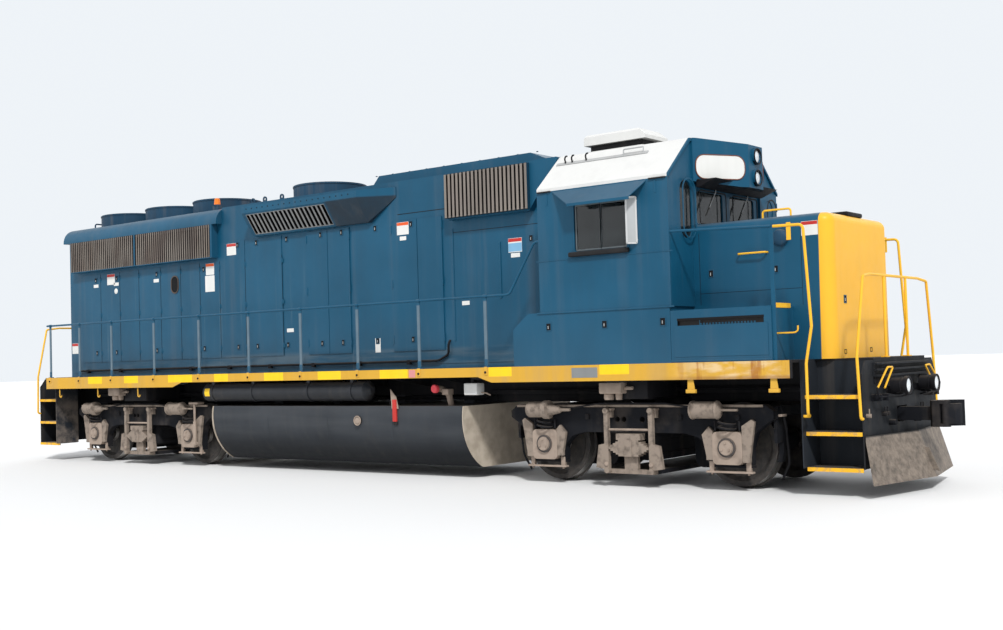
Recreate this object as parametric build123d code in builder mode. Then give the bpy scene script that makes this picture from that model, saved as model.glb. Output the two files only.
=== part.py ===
from build123d import *
import os
from math import atan2, degrees, sqrt

os.makedirs("parts", exist_ok=True)

# A four-axle hood-unit diesel locomotive in millimetres.
# +X is forward (short hood leading), +Y is its left side, +Z is up.
# Z = 0 is the lowest point of the wheel flanges, and X = Y = 0 is the middle of the locomotive.

# Running gear
FLANGE = 28.0
WHEEL_R = 508.0
AXLE_Z = FLANGE + WHEEL_R
WHEEL_BACK = 676.5
WHEEL_WIDTH = 140.0
FLANGE_WIDTH = 32.0
AXLE_R = 100.0
JOURNAL_R = 72.0
AXLE_OFFSET = 1371.5

# Gaps: between fixed faces that seat, round a running shaft, and beside a swinging leaf
SEAT_GAP = 0.3
RUNNING_GAP = 0.3
LEAF_GAP = 0.5

# Lengths along the locomotive, from the rear end plate to the front one
REAR_PLATFORM = 656.0
HOOD_LENGTH = 11700.0
HOOD_GAP = 10.0
CAB_LENGTH = 1990.0
NOSE_LENGTH = 1825.0
FRONT_PLATFORM = 431.0
END_X = (REAR_PLATFORM + HOOD_LENGTH + HOOD_GAP + CAB_LENGTH + NOSE_LENGTH + FRONT_PLATFORM) / 2
HOOD_REAR = REAR_PLATFORM - END_X
HOOD_FRONT = HOOD_REAR + HOOD_LENGTH
CAB_REAR = HOOD_FRONT + HOOD_GAP
CAB_FRONT = CAB_REAR + CAB_LENGTH
NOSE_FRONT = CAB_FRONT + NOSE_LENGTH
END_OVERHANG = 3124.5
TRUCK_X = END_X - END_OVERHANG

# Heights above the flanges
DECK_TOP = 1588.0
BASE_HEIGHT = 700.0
HOOD_HEIGHT = 2850.0
CAB_FLOOR = DECK_TOP + BASE_HEIGHT
HOOD_TOP = DECK_TOP + HOOD_HEIGHT

# Underframe
DECK_T = 30.0
SILL_Y = 1524.0
SILL_T = 25.0
SILL_END_BOTTOM = 1380.0
SILL_MID_BOTTOM = 1458.0
SILL_MID_FRONT = TRUCK_X - 2221.5
SILL_MID_REAR = -TRUCK_X + 1664.5
SILL_SLOPE = 240.0
SILL_FOOT = 220.0
CENTRE_SILL_Y = 430.0
CENTRE_SILL_BOTTOM = 1180.0
CROSS_BEARERS = 6
BOLSTER_HALF = 180.0
CENTRE_PLATE_R = 240.0
CENTRE_PLATE_Z = 1110.0
JACK_PAD_Y = 1430.0
JACK_PAD_Z = 1355.0
DRAFT_X = END_X - 906.0
DRAFT_Y = 300.0
DRAFT_WALL = 120.0
DRAFT_BOTTOM = 690.0
POCKET_Y = 165.0

# Step wells at the four corners
STEP_RUN = 706.0
WELL_X = END_X - STEP_RUN
WELL_Y = 850.0
STEP_Y = 1230.0
BULKHEAD_Y = 1310.0
STEP_PLATE = 14.0
STEP_TREADS = (338.0, 748.0, 1173.0)
STEP_LIP = 45.0

# Couplers
COUPLER_OVERHANG = 711.0
COUPLER_REACH = END_X + COUPLER_OVERHANG
COUPLER_Z = 904.0
COUPLER_PIN_X = COUPLER_REACH - 1067.0
COUPLER_PIN_R = 40.0
SHANK_Y = 65.0
SHANK_Z = 80.0
KNUCKLE_X = COUPLER_REACH - 155.0
KNUCKLE_Y = 95.0
KNUCKLE_PIN_R = 20.0
KNUCKLE_HALF = 118.0
LUG_T = 36.0

# Pilots
PILOT_T = 16.0
PILOT_Y = 1210.0
PILOT_BOTTOM = 330.0
ANTICLIMBER_Y = 890.0
ANTICLIMBER_REACH = 90.0
PLOW_BOTTOM = 158.0
PLOW_TOP = 700.0
PLOW_Y = 1320.0
PLOW_NOSE_X = END_X + 394.0

# Fuel tank and air reservoirs
TANK_REAR = -TRUCK_X + 2231.5
TANK_FRONT = TRUCK_X - 2681.5
TANK_BOTTOM = 158.0
TANK_TOP = 1048.0
TANK_ARC_Y = 500.0
TANK_ARC_Z = 878.0
TANK_R = 820.0
TANK_FLANGE = 14.0
FILLER_R = 70.0
RESERVOIR_R = 150.0
RESERVOIR_Y = 1250.0
RESERVOIR_Z = 1278.0
RESERVOIR_LENGTH = 3900.0
RESERVOIR_REAR = TANK_REAR - 250.0
RESERVOIR_FRONT = RESERVOIR_REAR + RESERVOIR_LENGTH
RESERVOIR_DISH = 90.0

# Cab
CAB_WALL = 50.0
CAB_RIDGE = HOOD_TOP - 10.0
ROOF_DROP = 500.0
CAB_EAVE = CAB_RIDGE - ROOF_DROP
CAB_RIDGE_Y = 960.0
ROOF_T = 40.0
ROOF_LIP = 25.0
SIDE_WINDOW_X = CAB_REAR + 990.0
SIDE_WINDOW_W = 800.0
SIDE_WINDOW_Z = CAB_EAVE - 565.0
SIDE_WINDOW_H = 610.0
WINDSHIELD_Y = 450.0
WINDSHIELD_W = 700.0
WINDSHIELD_Z = CAB_EAVE - 368.0
WINDSHIELD_H = 420.0
CORNER_WINDOW_Y = -1075.0
CORNER_WINDOW_W = 300.0
CORNER_WINDOW_Z = CAB_EAVE - 410.0
CORNER_WINDOW_H = 740.0
GLASS_T = 8.0
CAB_DOOR_Y = 1195.0
CAB_DOOR_W = 480.0
CAB_DOOR_BOTTOM = CAB_FLOOR + 22.0
CAB_DOOR_TOP = CAB_EAVE - 38.0
CAB_DOOR_T = 35.0

# Lamp and number board housing over the windscreens
LAMP_Y = 915.0
LAMP_REACH = 450.0
LAMP_FLAT_Y = 200.0
LAMP_BOTTOM = CAB_EAVE - 108.0
LAMP_TOP = CAB_RIDGE + 5.0
LAMP_R = 88.0

# Cab base, battery boxes and short hood
BASE_REAR = CAB_REAR - 460.0
BASE_FRONT = CAB_FRONT - 25.0
BATTERY_REAR = CAB_FRONT - 20.0
BATTERY_LENGTH = 1340.0
BATTERY_FRONT = BATTERY_REAR + BATTERY_LENGTH
BATTERY_TOP = CAB_FLOOR - 60.0
BOX_INNER_Y = 930.0
NOSE_Y = 925.0
NOSE_TOP = CAB_FLOOR + 1042.0
NOSE_EDGE = 110.0
NOSE_CORNER = 150.0

# Long hood
HOOD_Y = 925.0
HOOD_WALL = 40.0
DOOR_BOTTOM = DECK_TOP + 270.0
DOOR_TOP = HOOD_TOP - 608.0
KICK_T = 8.0
RADIATOR_REAR = HOOD_REAR + 240.0
RADIATOR_LENGTH = 4200.0
RADIATOR_FRONT = RADIATOR_REAR + RADIATOR_LENGTH
RADIATOR_SPLIT = RADIATOR_REAR + 2010.0
RADIATOR_TOP = HOOD_TOP - 280.0
RADIATOR_HEIGHT = 575.0
RADIATOR_BOTTOM = RADIATOR_TOP - RADIATOR_HEIGHT
RADIATOR_Y = 1060.0
RADIATOR_FRAME = 50.0
RADIATOR_VANES = 60.0
SHOULDER_Y = 810.0
LEAF_T = 18.0
HINGE_R = 11.0
HINGE_H = 60.0

# Dynamic brake blister and air intake, placed from the hood's rear end
BLISTER_REAR = HOOD_REAR + 5450.0
BLISTER_FRONT = HOOD_REAR + 8634.0
BLISTER_TAPER = 534.0
BLISTER_Y = 1250.0
BLISTER_FOOT_Y = 1000.0
BLISTER_FOOT = HOOD_TOP - 578.0
BLISTER_LIP = HOOD_TOP - 210.0
BLISTER_TOP = HOOD_TOP - 98.0
BLISTER_SLATS = 19
BLISTER_PITCH = 98.0
INTAKE_REAR = HOOD_REAR + 9740.0
INTAKE_BOTTOM = HOOD_TOP - 700.0
INTAKE_TOP = HOOD_TOP - 20.0
INTAKE_T = 110.0
INTAKE_VANES = 74.0

# Engine and generator, from the hood's rear end
ENGINE_REAR = HOOD_REAR + 5050.0
ENGINE_LENGTH = 4700.0
ENGINE_HEIGHT = 2100.0
ENGINE_FOOT_Y = 480.0
ENGINE_Y = 620.0

# Roof fans, from the hood's rear end
FAN_HEIGHT = 264.0
FAN_TOP = HOOD_TOP + FAN_HEIGHT
FAN_SHROUD_R = 617.0
FAN_SHROUD_T = 14.0
FAN_R = 570.0
FAN_HUB_R = 150.0
FAN_HUB_H = 120.0
FAN_SEAT = 50.0
FAN_BLADES = 8
FAN_XS = [HOOD_REAR + place for place in (794.0, 2202.0, 3610.0, 6274.0)]

# Handrails
RAIL_R = 17.0
RAIL_Y = SILL_Y - 25.0
RAIL_TOP = DECK_TOP + 1012.0
POST_W = 50.0
POST_T = 14.0
POST_PLACES = (200.0, 1140.0, 2130.0, 3370.0, 4590.0, 5845.0, 7069.0, 8302.0, 9530.0, 10757.0)
STANCHIONS = [HOOD_REAR + place for place in POST_PLACES if HOOD_REAR + place < BASE_REAR - 200]

# Two-axle truck with swing hangers
FRAME_TOP = 1058.0
FRAME_END = 1970.0
FRAME_INNER_Y = 985.0
FRAME_OUTER_Y = 1105.0
FRAME_WAIST = 698.0
PEDESTAL_HALF = 290.0
BOX_HALF = 200.0
JAW_HALF = BOX_HALF + SEAT_GAP
JAW_TOP = 760.0
PEDESTAL_BOTTOM = 360.0
BOX_Z = (328.0, 728.0)
BOX_Y = (960.0, 1170.0)
HANGER_X = 335.0
HANGER_Y = (1180.0, 1240.0)
HANGER_Z = (191.0, 985.0)
SPRING_Y = (1125.0, 1245.0)
SPRING_Z = (404.0, 609.0)
PLANK_Z = (173.0, 230.0)

with BuildPart() as underframe:
    # Deck plate with a step well cut from each corner
    with BuildSketch(Plane.XY.offset(DECK_TOP - DECK_T)):
        Rectangle(2 * END_X, 2 * SILL_Y)
        with GridLocations(END_X + WELL_X, SILL_Y + WELL_Y, 2, 2):
            Rectangle(END_X - WELL_X, SILL_Y - WELL_Y, mode=Mode.SUBTRACT)
    extrude(amount=DECK_T)
    # Side sill, deeper over the trucks than over the tank
    with BuildSketch(Plane.XZ.offset(SILL_Y - SILL_T)):
        with BuildLine():
            Polyline(
                (-WELL_X, DECK_TOP - DECK_T),
                (-WELL_X, SILL_END_BOTTOM),
                (SILL_MID_REAR - SILL_SLOPE, SILL_END_BOTTOM),
                (SILL_MID_REAR, SILL_MID_BOTTOM),
                (SILL_MID_FRONT, SILL_MID_BOTTOM),
                (SILL_MID_FRONT + SILL_SLOPE, SILL_END_BOTTOM),
                (WELL_X, SILL_END_BOTTOM),
                (WELL_X, DECK_TOP - DECK_T),
                close=True,
            )
        make_face()
    extrude(amount=SILL_T)
    # Inward foot of the sill
    with BuildSketch(Plane.XY.offset(SILL_MID_BOTTOM)):
        with Locations(((SILL_MID_REAR + SILL_MID_FRONT) / 2, -SILL_Y + SILL_T + SILL_FOOT / 2)):
            Rectangle(SILL_MID_FRONT - SILL_MID_REAR, SILL_FOOT)
    extrude(amount=16)
    mirror(about=Plane.XZ)
    # Centre sill
    with BuildSketch(Plane.XZ):
        with BuildLine():
            Polyline(
                (-DRAFT_X - 150, DECK_TOP - DECK_T),
                (-DRAFT_X - 150, CENTRE_SILL_BOTTOM),
                (DRAFT_X + 150, CENTRE_SILL_BOTTOM),
                (DRAFT_X + 150, DECK_TOP - DECK_T),
                close=True,
            )
        make_face()
    extrude(amount=CENTRE_SILL_Y, both=True)
    # Body bolsters over the truck centres, wide at the deck and narrow at the centre plate
    for x in (-TRUCK_X, TRUCK_X):
        with BuildSketch(Plane.YZ.offset(x - BOLSTER_HALF)):
            with BuildLine():
                Polyline(
                    (-SILL_Y + SILL_T, DECK_TOP - DECK_T),
                    (-SILL_Y + SILL_T, SILL_END_BOTTOM + 40),
                    (-CENTRE_SILL_Y - 120, CENTRE_SILL_BOTTOM),
                    (CENTRE_SILL_Y + 120, CENTRE_SILL_BOTTOM),
                    (SILL_Y - SILL_T, SILL_END_BOTTOM + 40),
                    (SILL_Y - SILL_T, DECK_TOP - DECK_T),
                    close=True,
                )
            make_face()
        extrude(amount=2 * BOLSTER_HALF)
        with BuildSketch(Plane.XY.offset(CENTRE_PLATE_Z)):
            with Locations((x, 0)):
                Circle(CENTRE_PLATE_R)
        extrude(amount=CENTRE_SILL_BOTTOM - CENTRE_PLATE_Z)
    # Cross bearers under the walkways
    for place in range(CROSS_BEARERS):
        x = TANK_REAR + (place + 0.5) * (TANK_FRONT - TANK_REAR) / CROSS_BEARERS
        with BuildSketch(Plane.YZ.offset(x)):
            with BuildLine():
                Polyline(
                    (-SILL_Y + SILL_T, DECK_TOP - DECK_T),
                    (-SILL_Y + SILL_T, SILL_MID_BOTTOM + 16),
                    (-CENTRE_SILL_Y, CENTRE_SILL_BOTTOM + 120),
                    (CENTRE_SILL_Y, CENTRE_SILL_BOTTOM + 120),
                    (SILL_Y - SILL_T, SILL_MID_BOTTOM + 16),
                    (SILL_Y - SILL_T, DECK_TOP - DECK_T),
                    close=True,
                )
            make_face()
        extrude(amount=16)
    # Draft gear pocket at each end, with the coupler's pin across it
    for end in (-1, 1):
        with Locations((end * (DRAFT_X + END_X - PILOT_T) / 2, 0, (DRAFT_BOTTOM + DECK_TOP - DECK_T) / 2)):
            Box(END_X - PILOT_T - DRAFT_X, 2 * DRAFT_Y, DECK_TOP - DECK_T - DRAFT_BOTTOM)
        with Locations((end * (DRAFT_X + DRAFT_WALL + END_X) / 2, 0, COUPLER_Z)):
            Box(END_X - DRAFT_X - DRAFT_WALL, 2 * POCKET_Y, 2 * SHANK_Z + 30, mode=Mode.SUBTRACT)
        with Locations((end * COUPLER_PIN_X, 0, COUPLER_Z)):
            Cylinder(COUPLER_PIN_R, 2 * SHANK_Z + 40)
        # Jacking pads under the ends of the body bolster
        with Locations((end * TRUCK_X, -JACK_PAD_Y, JACK_PAD_Z + 33), (end * TRUCK_X, JACK_PAD_Y, JACK_PAD_Z + 33)):
            Box(300, 130, 66)
underframe.part.label = "underframe"
export_step(underframe.part, "parts/underframe.step")

# Treads, lips and side plates of the four corner step wells
with BuildPart() as steps:
    for end in (-1, 1):
        tread_inner = WELL_X + STEP_PLATE + SEAT_GAP
        tread_outer = END_X - PILOT_T - SEAT_GAP
        # Bulkhead between the sill's end and the treads
        with Locations((end * (WELL_X + STEP_PLATE / 2), 0, 0)):
            with Locations((0, -(WELL_Y + BULKHEAD_Y) / 2, (PILOT_BOTTOM + DECK_TOP) / 2)):
                Box(STEP_PLATE, BULKHEAD_Y - WELL_Y, DECK_TOP - PILOT_BOTTOM)
        # Treads and their lips, each plate bolted on by itself
        for z in STEP_TREADS:
            with Locations((end * (tread_inner + tread_outer) / 2, -(WELL_Y + STEP_Y - 10) / 2, z - STEP_PLATE / 2)):
                Box(tread_outer - tread_inner, STEP_Y - 10 - WELL_Y - 2 * SEAT_GAP, STEP_PLATE)
            with Locations((end * (tread_inner + tread_outer) / 2, -STEP_Y + 5, z - STEP_LIP / 2)):
                Box(tread_outer - tread_inner, 10, STEP_LIP)
        # Plate behind the treads
        with Locations((end * (WELL_X + END_X - PILOT_T) / 2, -WELL_Y + 5 + SEAT_GAP, (PILOT_BOTTOM + DECK_TOP - DECK_T) / 2)):
            Box(END_X - PILOT_T - WELL_X - 2 * SEAT_GAP, 10, DECK_TOP - DECK_T - PILOT_BOTTOM - 2 * SEAT_GAP)
    mirror(about=Plane.XZ)
steps.part.label = "steps"
export_step(steps.part, "parts/steps.step")

# End plates across the locomotive with the coupler's opening, and the front plow
for end, pilot_name in ((1, "front_pilot"), (-1, "rear_pilot")):
    plate_face = END_X if end > 0 else -END_X + PILOT_T
    with BuildPart() as pilot:
        with BuildSketch(Plane.YZ.offset(plate_face - PILOT_T)):
            with BuildLine():
                Polyline(
                    (-PILOT_Y, PILOT_BOTTOM),
                    (PILOT_Y, PILOT_BOTTOM),
                    (PILOT_Y, DECK_TOP - 180),
                    (PILOT_Y - 110, DECK_TOP - DECK_T),
                    (-PILOT_Y + 110, DECK_TOP - DECK_T),
                    (-PILOT_Y, DECK_TOP - 180),
                    close=True,
                )
            make_face()
            with Locations((0, COUPLER_Z)):
                Rectangle(2 * POCKET_Y, 2 * SHANK_Z + 30, mode=Mode.SUBTRACT)
        extrude(amount=PILOT_T)
        # Anticlimber: a ribbed shelf at platform height
        for z in (1380, 1450, 1520):
            with BuildSketch(Plane.XY.offset(z - 11)):
                with BuildLine():
                    Polyline(
                        (end * END_X, -ANTICLIMBER_Y),
                        (end * (END_X + ANTICLIMBER_REACH - 35), -ANTICLIMBER_Y),
                        (end * (END_X + ANTICLIMBER_REACH), -ANTICLIMBER_Y + 60),
                        (end * (END_X + ANTICLIMBER_REACH), ANTICLIMBER_Y - 60),
                        (end * (END_X + ANTICLIMBER_REACH - 35), ANTICLIMBER_Y),
                        (end * END_X, ANTICLIMBER_Y),
                        close=True,
                    )
                make_face()
            extrude(amount=22)
        with Locations((end * (END_X + 8), 0, 1450)):
            Box(16, 2 * ANTICLIMBER_Y, 162)
        if end > 0:
            # Plow: two curved mouldboards that meet in a vee under the coupler
            for side in (-1, 1):
                with BuildSketch(Plane.XY.offset(PLOW_BOTTOM)) as plow_foot:
                    with BuildLine():
                        Polyline(
                            (PLOW_NOSE_X, 0),
                            (END_X + 150, side * PLOW_Y),
                            (END_X + 130, side * PLOW_Y),
                            (PLOW_NOSE_X - 24, 0),
                            close=True,
                        )
                    make_face()
                with BuildSketch(Plane.XY.offset(PLOW_TOP)) as plow_head:
                    with BuildLine():
                        Polyline(
                            (PLOW_NOSE_X - 200, 0),
                            (END_X + 24, side * PILOT_Y),
                            (END_X + 4, side * PILOT_Y),
                            (PLOW_NOSE_X - 224, 0),
                            close=True,
                        )
                    make_face()
                loft()
            for y in (-700, 0, 700):
                with BuildSketch(Plane.XZ.offset(-y + 8)):
                    with BuildLine():
                        reach = (PLOW_NOSE_X - END_X - 40) * (1 - abs(y) / PLOW_Y) + 110
                        Polyline(
                            (END_X, PLOW_TOP - 150),
                            (END_X + reach - 150, PLOW_TOP - 200),
                            (END_X + reach - 30, PLOW_BOTTOM + 60),
                            (END_X, PILOT_BOTTOM + 20),
                            close=True,
                        )
                    make_face()
                extrude(amount=16)
    pilot.part.label = pilot_name
    export_step(pilot.part, f"parts/{pilot_name}.step")

# Fuel tank with bellied sides and flanged end plates
with BuildPart() as fuel_tank:
    side_top_y = TANK_ARC_Y + sqrt(TANK_R ** 2 - (TANK_TOP - TANK_ARC_Z) ** 2)
    side_foot_y = TANK_ARC_Y + sqrt(TANK_R ** 2 - (TANK_ARC_Z - TANK_BOTTOM) ** 2)
    with BuildSketch(Plane.YZ.offset(TANK_REAR)) as tank_section:
        with BuildLine():
            Polyline((-side_foot_y, TANK_BOTTOM), (side_foot_y, TANK_BOTTOM))
            ThreePointArc((side_foot_y, TANK_BOTTOM), (TANK_ARC_Y + TANK_R, TANK_ARC_Z), (side_top_y, TANK_TOP))
            Polyline((side_top_y, TANK_TOP), (-side_top_y, TANK_TOP))
            ThreePointArc((-side_top_y, TANK_TOP), (-TANK_ARC_Y - TANK_R, TANK_ARC_Z), (-side_foot_y, TANK_BOTTOM))
        make_face()
    extrude(amount=TANK_FRONT - TANK_REAR)
    # End plates a little larger than the tank, with a turned edge
    for x in (TANK_REAR - TANK_FLANGE, TANK_FRONT):
        with BuildSketch(Plane.YZ.offset(x)):
            with BuildLine():
                Polyline((-side_foot_y - 8, TANK_BOTTOM), (side_foot_y + 8, TANK_BOTTOM))
                ThreePointArc(
                    (side_foot_y + 8, TANK_BOTTOM),
                    (TANK_ARC_Y + TANK_R + 12, TANK_ARC_Z),
                    (side_top_y + 8, TANK_TOP),
                )
                Polyline((side_top_y + 8, TANK_TOP), (-side_top_y - 8, TANK_TOP))
                ThreePointArc(
                    (-side_top_y - 8, TANK_TOP),
                    (-TANK_ARC_Y - TANK_R - 12, TANK_ARC_Z),
                    (-side_foot_y - 8, TANK_BOTTOM),
                )
            make_face()
        extrude(amount=TANK_FLANGE)
    # Filler recess in each side, round and with its neck inside
    for side in (-1, 1):
        filler_y = side * (TANK_ARC_Y + TANK_R)
        with Locations(Location((TANK_REAR + 3400, filler_y, 830), (90, 0, 0))):
            Cylinder(FILLER_R, 90, mode=Mode.SUBTRACT)
        with Locations(Location((TANK_REAR + 3400, filler_y - side * 20, 830), (90, 0, 0))):
            Cylinder(FILLER_R - 32, 60)
    # Saddles that hang the tank from the centre sill
    for place in range(4):
        x = TANK_REAR + 650 + place * (TANK_FRONT - TANK_REAR - 1250) / 3
        with Locations((x, 0, (TANK_TOP + CENTRE_SILL_BOTTOM - SEAT_GAP) / 2)):
            Box(200, 2 * CENTRE_SILL_Y, CENTRE_SILL_BOTTOM - SEAT_GAP - TANK_TOP)
fuel_tank.part.label = "fuel_tank"
export_step(fuel_tank.part, "parts/fuel_tank.step")

# Main air reservoirs with dished ends, strapped under each side sill
with BuildPart() as air_reservoirs:
    with BuildSketch(Plane.XY.offset(RESERVOIR_Z)):
        with BuildLine():
            l1 = Polyline((RESERVOIR_REAR, -RESERVOIR_Y), (RESERVOIR_FRONT, -RESERVOIR_Y))
            l2 = Polyline(
                (RESERVOIR_FRONT, -RESERVOIR_Y),
                (RESERVOIR_FRONT, -RESERVOIR_Y - 50),
                (RESERVOIR_FRONT - RESERVOIR_DISH, -RESERVOIR_Y - RESERVOIR_R),
                (RESERVOIR_REAR + RESERVOIR_DISH, -RESERVOIR_Y - RESERVOIR_R),
                (RESERVOIR_REAR, -RESERVOIR_Y - 50),
                (RESERVOIR_REAR, -RESERVOIR_Y),
            )
        make_face()
    revolve(axis=Axis((0, -RESERVOIR_Y, RESERVOIR_Z), (1, 0, 0)))
    for place in (300, 1300, 2600, 3550):
        x = RESERVOIR_REAR + place * RESERVOIR_LENGTH / 3900
        with Locations((x, -RESERVOIR_Y - 30, (RESERVOIR_Z + SILL_MID_BOTTOM - SEAT_GAP) / 2)):
            Box(60, 130, SILL_MID_BOTTOM - SEAT_GAP - RESERVOIR_Z)
        with BuildSketch(Plane.YZ.offset(x - 30)):
            with Locations((-RESERVOIR_Y, RESERVOIR_Z)):
                Circle(RESERVOIR_R + 10)
        extrude(amount=60)
    mirror(about=Plane.XZ)
air_reservoirs.part.label = "air_reservoirs"
export_step(air_reservoirs.part, "parts/air_reservoirs.step")

# Equipment boxes that carry the cab and stand beside the short hood
with BuildPart() as cab_base:
    with BuildSketch(Plane.XZ.offset(BOX_INNER_Y)):
        with BuildLine():
            Polyline(
                (BASE_REAR, DECK_TOP),
                (BASE_FRONT, DECK_TOP),
                (BASE_FRONT, CAB_FLOOR),
                (BASE_REAR + 260, CAB_FLOOR),
                (BASE_REAR, CAB_FLOOR - 205),
                close=True,
            )
        make_face()
    extrude(amount=SILL_Y - BOX_INNER_Y)
    with Locations(((BATTERY_REAR + BATTERY_FRONT) / 2, -(BOX_INNER_Y + SILL_Y) / 2, (DECK_TOP + BATTERY_TOP) / 2)):
        Box(BATTERY_FRONT - BATTERY_REAR, SILL_Y - BOX_INNER_Y, BATTERY_TOP - DECK_TOP)
    # Louver slot along the battery box
    with Locations(((BATTERY_REAR + BATTERY_FRONT) / 2, -SILL_Y, BATTERY_TOP - 160)):
        Box(BATTERY_LENGTH - 190, 60, 60, mode=Mode.SUBTRACT)
    # Raised door panel in the face of each box
    with Locations(((BATTERY_REAR + BATTERY_FRONT) / 2, -SILL_Y - 3, (DECK_TOP + BATTERY_TOP) / 2 - 60)):
        Box(BATTERY_LENGTH - 90, 6, BATTERY_TOP - DECK_TOP - 260)
    mirror(about=Plane.XZ)
    # Middle of the cab's base, between the hoods
    with Locations(((HOOD_FRONT + CAB_FRONT) / 2 + 5, 0, (DECK_TOP + CAB_FLOOR) / 2)):
        Box(CAB_FRONT - HOOD_FRONT - 10, 2 * BOX_INNER_Y, CAB_FLOOR - DECK_TOP)
cab_base.part.label = "cab_base"
export_step(cab_base.part, "parts/cab_base.step")

# Short hood with rounded corners and edges
with BuildPart() as short_hood:
    with BuildSketch(Plane.XY.offset(DECK_TOP)):
        with Locations(((CAB_FRONT + NOSE_FRONT) / 2, 0)):
            Rectangle(NOSE_FRONT - CAB_FRONT, 2 * NOSE_Y)
    extrude(amount=NOSE_TOP - DECK_TOP)
    fillet(short_hood.edges().filter_by(Axis.Z).group_by(Axis.X)[-1], NOSE_CORNER)
    top_edges = short_hood.faces().sort_by(Axis.Z)[-1].edges()
    fillet([e for e in top_edges if e.center().X > CAB_FRONT + 1], NOSE_EDGE)
short_hood.part.label = "short_hood"
export_step(short_hood.part, "parts/short_hood.step")

# Hinge line and knuckle heights of the cab doors
CAB_HINGE_Y = CAB_DOOR_Y + CAB_DOOR_W / 2 + 15
CAB_HINGE_ZS = (CAB_DOOR_BOTTOM + 200, (CAB_DOOR_BOTTOM + CAB_DOOR_TOP) / 2, CAB_DOOR_TOP - 200)

# Cab walls: sides to the eaves, gabled ends, with windows and two doorways
with BuildPart() as cab_shell:
    with BuildSketch(Plane.YZ.offset(CAB_REAR)):
        with BuildLine():
            Polyline(
                (-SILL_Y, CAB_FLOOR),
                (SILL_Y, CAB_FLOOR),
                (SILL_Y, CAB_EAVE - ROOF_T),
                (CAB_RIDGE_Y, CAB_RIDGE - ROOF_T),
                (-CAB_RIDGE_Y, CAB_RIDGE - ROOF_T),
                (-SILL_Y, CAB_EAVE - ROOF_T),
                close=True,
            )
        make_face()
    extrude(amount=CAB_FRONT - CAB_REAR)
    with BuildSketch(Plane.YZ.offset(CAB_REAR + CAB_WALL)):
        with Locations((0, (CAB_FLOOR + CAB_WALL + CAB_RIDGE + 100) / 2)):
            Rectangle(2 * (SILL_Y - CAB_WALL), CAB_RIDGE + 100 - CAB_FLOOR - CAB_WALL)
    extrude(amount=CAB_FRONT - CAB_REAR - 2 * CAB_WALL, mode=Mode.SUBTRACT)
    # Side windows through both walls
    with BuildSketch(Plane.XZ):
        with Locations((SIDE_WINDOW_X, SIDE_WINDOW_Z)):
            RectangleRounded(SIDE_WINDOW_W, SIDE_WINDOW_H, 40)
    extrude(amount=SILL_Y + 10, both=True, mode=Mode.SUBTRACT)
    # Windscreens and the narrow corner window in the front wall
    with BuildSketch(Plane.YZ.offset(CAB_FRONT - CAB_WALL - 10)):
        with Locations((-WINDSHIELD_Y, WINDSHIELD_Z), (WINDSHIELD_Y, WINDSHIELD_Z)):
            RectangleRounded(WINDSHIELD_W, WINDSHIELD_H, 40)
        with Locations((CORNER_WINDOW_Y, CORNER_WINDOW_Z)):
            SlotOverall(CORNER_WINDOW_H, CORNER_WINDOW_W, rotation=90)
    extrude(amount=CAB_WALL + 20, mode=Mode.SUBTRACT)
    # Window in the rear wall beside the hood, on the left
    with BuildSketch(Plane.YZ.offset(CAB_REAR - 10)):
        with Locations((-CORNER_WINDOW_Y + 100, CORNER_WINDOW_Z)):
            SlotOverall(CORNER_WINDOW_H, CORNER_WINDOW_W, rotation=90)
    extrude(amount=CAB_WALL + 20, mode=Mode.SUBTRACT)
    # Doorways: front wall on the left, rear wall on the right
    door_height = CAB_DOOR_TOP - CAB_DOOR_BOTTOM
    for x, y in ((CAB_FRONT, CAB_DOOR_Y), (CAB_REAR, -CAB_DOOR_Y)):
        with Locations((x, y, (CAB_DOOR_TOP + CAB_DOOR_BOTTOM) / 2)):
            Box(2 * CAB_WALL + 20, CAB_DOOR_W, door_height, mode=Mode.SUBTRACT)
    # Fixed hinge knuckles beside the doorways, on lugs from the wall
    for wall_x, out, hinge_y in ((CAB_FRONT, 1, CAB_HINGE_Y), (CAB_REAR, -1, -CAB_HINGE_Y)):
        pin_x = wall_x + out * (LEAF_GAP + CAB_DOOR_T)
        for z in CAB_HINGE_ZS:
            with Locations((pin_x, hinge_y, z)):
                Cylinder(HINGE_R, HINGE_H)
            with Locations(((wall_x + pin_x) / 2, hinge_y + out * HINGE_R / 2, z)):
                Box(abs(pin_x - wall_x), HINGE_R, HINGE_H)
cab_shell.part.label = "cab_shell"
export_step(cab_shell.part, "parts/cab_shell.step")

# Cab roof: flat top with a slope down to each eave
with BuildPart() as cab_roof:
    with BuildSketch(Plane.YZ.offset(CAB_REAR)):
        with BuildLine():
            Polyline(
                (SILL_Y, CAB_EAVE - ROOF_T),
                (SILL_Y, CAB_EAVE),
                (CAB_RIDGE_Y, CAB_RIDGE),
                (-CAB_RIDGE_Y, CAB_RIDGE),
                (-SILL_Y, CAB_EAVE),
                (-SILL_Y, CAB_EAVE - ROOF_T),
                (-CAB_RIDGE_Y, CAB_RIDGE - ROOF_T),
                (CAB_RIDGE_Y, CAB_RIDGE - ROOF_T),
                close=True,
            )
        make_face()
    extrude(amount=CAB_FRONT - CAB_REAR + ROOF_LIP)
cab_roof.part.label = "cab_roof"
export_step(cab_roof.part, "parts/cab_roof.step")

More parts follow.
